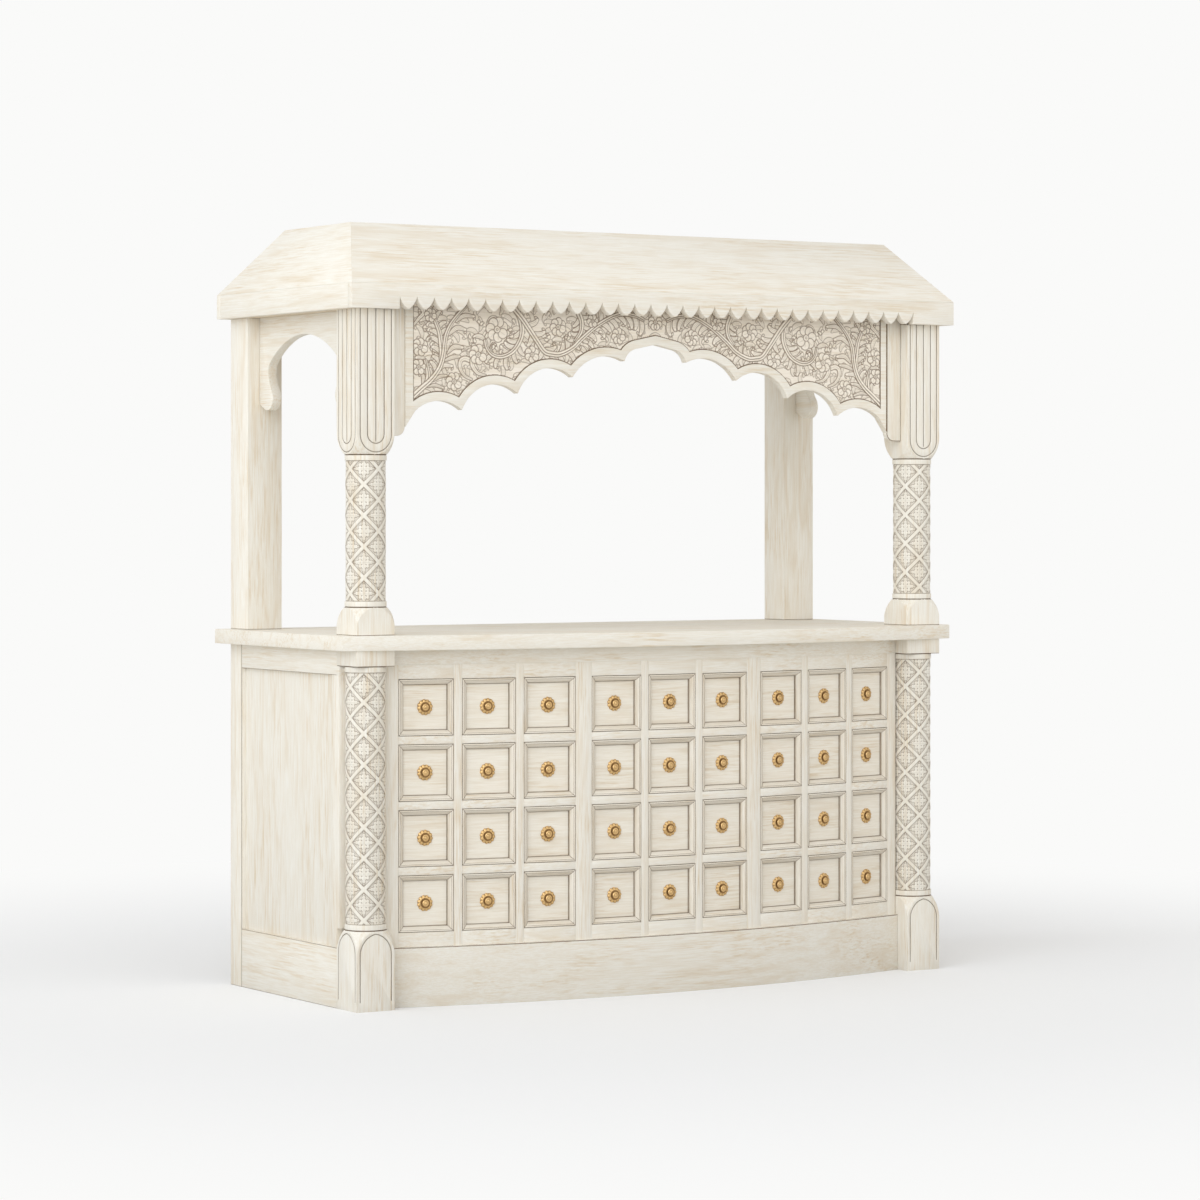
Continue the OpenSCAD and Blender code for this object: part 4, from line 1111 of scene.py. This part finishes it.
def carve_vines():
    """The left half of the field, from the left border to the middle."""
    sheet = Relief((-0.822, 1.600), (0.012, FIELD_TOP_Z), CARVING_STEP)
    random = np.random.default_rng(505)
    stems = {name: flowing(on_arch(places)) for name, places in STEMS.items()}
    for x in np.arange(-0.812, 0.010, 0.036):
        for z in np.arange(1.640, FIELD_TOP_Z, 0.027):
            start = (x + random.uniform(-0.006, 0.006), z + random.uniform(-0.005, 0.005))
            way = -1 if random.uniform() < 0.5 else 1
            leaf = bent(start, random.uniform(0.3, 2.8), way * random.uniform(1.0, 1.7),
                        random.uniform(0.034, 0.042), 8)
            feather(sheet, leaf, random.uniform(6.0, 7.0) * MM, way, 0.6, 0.75)
    for name, side, gap, length, size, first, last in COMBS:
        leaves_along(sheet, stems[name], side, gap, length, size * MM, random, first, last)
    for places, size in CORNER_LEAVES:
        feather(sheet, flowing(on_arch(places), 5 * MM), 0.9 * size * MM, -1)
    for place in on_arch(HOOKS):
        comma(sheet, place, 2.4, 2.2, 0.016, 4.0 * MM)
    for curl in CURLS:
        path = flowing(on_arch(curl))
        sheet.stroke(path, np.linspace(3.4, 7.4, len(path)) * MM, 0.8, 4 * MM, 0.95)
        sheet.line(path, 0.5)
    for place in on_arch(BUDS):
        comma(sheet, place, random.uniform(0, 6.2), random.uniform(1.2, 2.2), 0.011, 4.6 * MM, 0.85)
    for name in ("inner", "branch", "corner", "twig", "scroll", "vine"):
        double_stem(sheet, stems[name])
    for x, z, size, petals in FLOWERS:
        centre = on_arch([(x, z)])[0]
        sheet.flower(centre, size * PIXEL, petals, random.uniform(0, 1))
    sheet.flower(np.array([0.0, on_arch([(648, 322)])[0][1]]), 0.024, 8, math.pi / 8)
    # Painted shade with glazing round the field's edge, beside the border
    rim = ~in_field(sheet.x, sheet.z, -3.0 * MM)
    sheet.tint_and_shade[rim] = 0.9
    sheet.height[rim] *= 0.2
    return sheet


def carved_field():
    """The carving as two closed pieces that lie in the panel's recess, one for each half."""
    sheet = carve_vines()
    rows = sheet.shape[1]
    keep_columns = int(round(-sheet.low[0] / sheet.step)) + 1
    piece = add_grid("carved_field_left", keep_columns - 1, rows - 1)
    flat = points_of(piece.data)
    column = np.rint((flat[:, 0] + 0.5) * (keep_columns - 1)).astype(int)
    row = np.rint((flat[:, 1] + 0.5) * (rows - 1)).astype(int)
    x, z = sheet.x[column, row], sheet.z[column, row]
    depth = CARVING_GROUND - CARVING_HEIGHT * np.clip(sheet.height[column, row], 0, 1)
    x = np.minimum(x, 0)
    move_points(piece.data, np.stack([x, ARCH_FRONT_Y + depth, z], 1))
    store(piece.data, "wash", sheet.tint_and_shade[column, row])
    open_chosen(piece, ~in_field(x, z, 3 * MM), "VERT")
    bpy.ops.mesh.delete(type="VERT")
    select_whole()
    bpy.ops.mesh.region_to_loop()
    bpy.ops.mesh.extrude_edges_move(TRANSFORM_OT_translate={"value": (0, 20 * MM, 0)})
    bpy.ops.mesh.edge_face_add()
    turn_outwards()
    close_mesh()
    points = points_of(piece.data)
    behind = points[:, 1] > ARCH_FRONT_Y + 2 * FIELD_DEPTH
    points[behind, 1] = ARCH_FRONT_Y + FIELD_DEPTH - 0.05 * MM
    move_points(piece.data, points)
    twin = add_object("carved_field_right", piece.data.copy())
    twin.data.transform(Matrix.Scale(-1, 4, (1, 0, 0)))
    twin.data.flip_normals()
    for half, seed in ((piece, 41), (twin, 42)):
        grain = points_of(half.data) + np.random.default_rng(seed).uniform(-6, 6, 3)
        store(half.data, "grain_co", grain)
        smooth(half, 60)
        finish(half, "arch_panel", carved_wash)


def arch_border():
    piece = copy_of("arch_panel", "arch_border")
    split_at(piece, (RIGHT_SHADOW_X, 0, 0), (1, 0, 0))
    soften(piece, 1.0 * MM)
    centres, normals = faces_of(piece.data)
    x, y, z = centres.T
    deep = y - ARCH_FRONT_Y
    # Painted shade with glazing on the field's walls and ground, and a painted shadow line on the
    # border's face at its right end
    wall = (deep > 0.8 * MM) & (deep < FIELD_DEPTH) & (np.abs(normals[:, 1]) < 0.3)
    ground = np.abs(deep - FIELD_DEPTH) < 0.2 * MM
    shadow_at_right = (x > RIGHT_SHADOW_X) & (normals[:, 1] < -0.3)
    tint_and_shade = np.where(wall, 0.85 * in_field(x, z, 2 * MM), np.where(ground, 0.7, shadow_at_right))
    store(piece.data, "edge_wash", tint_and_shade, "FACE")
    finish_board(piece, "arch_panel", 43, 0)


arch_border()
carved_field()


# Floor, light and camera

def seen_directly(tree):
    """Whether a ray comes from the camera, or from a mirror or through glass."""
    rays = make(tree, "ShaderNodeLightPath")
    seen = maths(tree, rays.outputs["Is Camera Ray"], rays.outputs["Is Glossy Ray"], "MAXIMUM")
    return maths(tree, seen, rays.outputs["Is Transmission Ray"], "MAXIMUM")


def floor_paint():
    """Pale floor that keeps the shadow near the object and meets the backdrop's white far off."""
    material, tree = new_shader("studio_floor")
    at = make(tree, "ShaderNodeTexCoord").outputs["Object"]
    away = make(tree, "ShaderNodeVectorMath", {0: at}, operation="LENGTH").outputs["Value"]
    far = spread(tree, away, 1.6, 4.2)
    glow = make(tree, "ShaderNodeEmission", {"Color": BACKGROUND, "Strength": 1.0})
    seen = seen_directly(tree)
    bounced = blend_colour(tree, spread(tree, away, 1.0, 3.4), colour(196, 195, 193),
                           colour(244, 243, 240))
    pale = blend_colour(tree, seen, bounced, colour(248, 249, 252))
    matt = make(tree, "ShaderNodeBsdfDiffuse", {"Color": pale})
    share = maths(tree, far, seen)
    mixed = make(tree, "ShaderNodeMixShader",
                 {0: share, 1: matt.outputs[0], 2: glow.outputs[0]})
    make(tree, "ShaderNodeOutputMaterial", {"Surface": mixed.outputs[0]})
    return material


floor = add_shape("studio_floor", bpy.ops.mesh.primitive_plane_add, size=90)
floor.data.materials.append(floor_paint())

world = bpy.data.worlds.new("studio")
bpy.context.scene.world = world
world.use_nodes = True
tree = world.node_tree
tree.nodes.clear()
soft_light = make(tree, "ShaderNodeBackground",
                  {"Color": (1.0, 0.982, 0.940, 1.0), "Strength": 0.72})
backdrop = make(tree, "ShaderNodeBackground", {"Color": BACKGROUND, "Strength": 1.0})
mixed = make(tree, "ShaderNodeMixShader",
             {0: seen_directly(tree), 1: soft_light.outputs[0], 2: backdrop.outputs[0]})
make(tree, "ShaderNodeOutputWorld", {"Surface": mixed.outputs[0]})


def soft_sun(name, towards, strength, spread_degrees, tint):
    """A broad, even studio light whose light travels towards the given direction."""
    lamp = bpy.data.lights.new(name, "SUN")
    lamp.energy = strength
    lamp.color = tint
    lamp.angle = math.radians(spread_degrees)
    holder = add_object(name, lamp)
    x, y, z = towards
    holder.rotation_euler = (math.atan2(math.hypot(x, y), -z), 0, math.atan2(y, x) - math.pi / 2)


soft_sun("left_window", (0.86, 0.36, -0.52), 1.02, 80, (0.905, 0.96, 1.0))
soft_sun("front_fill", (-0.05, 0.98, -0.14), 0.34, 60, (1.0, 0.985, 0.955))
soft_sun("low_left_fill", (0.84, 0.54, -0.12), 0.76, 70, (0.94, 0.97, 1.0))

camera_data = bpy.data.cameras.new("camera")
camera_data.sensor_width = 36
camera_data.sensor_fit = "HORIZONTAL"
camera_data.lens = 118.78
camera_data.shift_y = -0.0771
camera_data.clip_end = 200
camera = add_object("camera", camera_data)
camera.location = CAMERA_AT
camera.rotation_euler = (math.pi / 2, 0, -CAMERA_TURN)
bpy.context.scene.camera = camera
bpy.context.scene.view_settings.view_transform = "Standard"
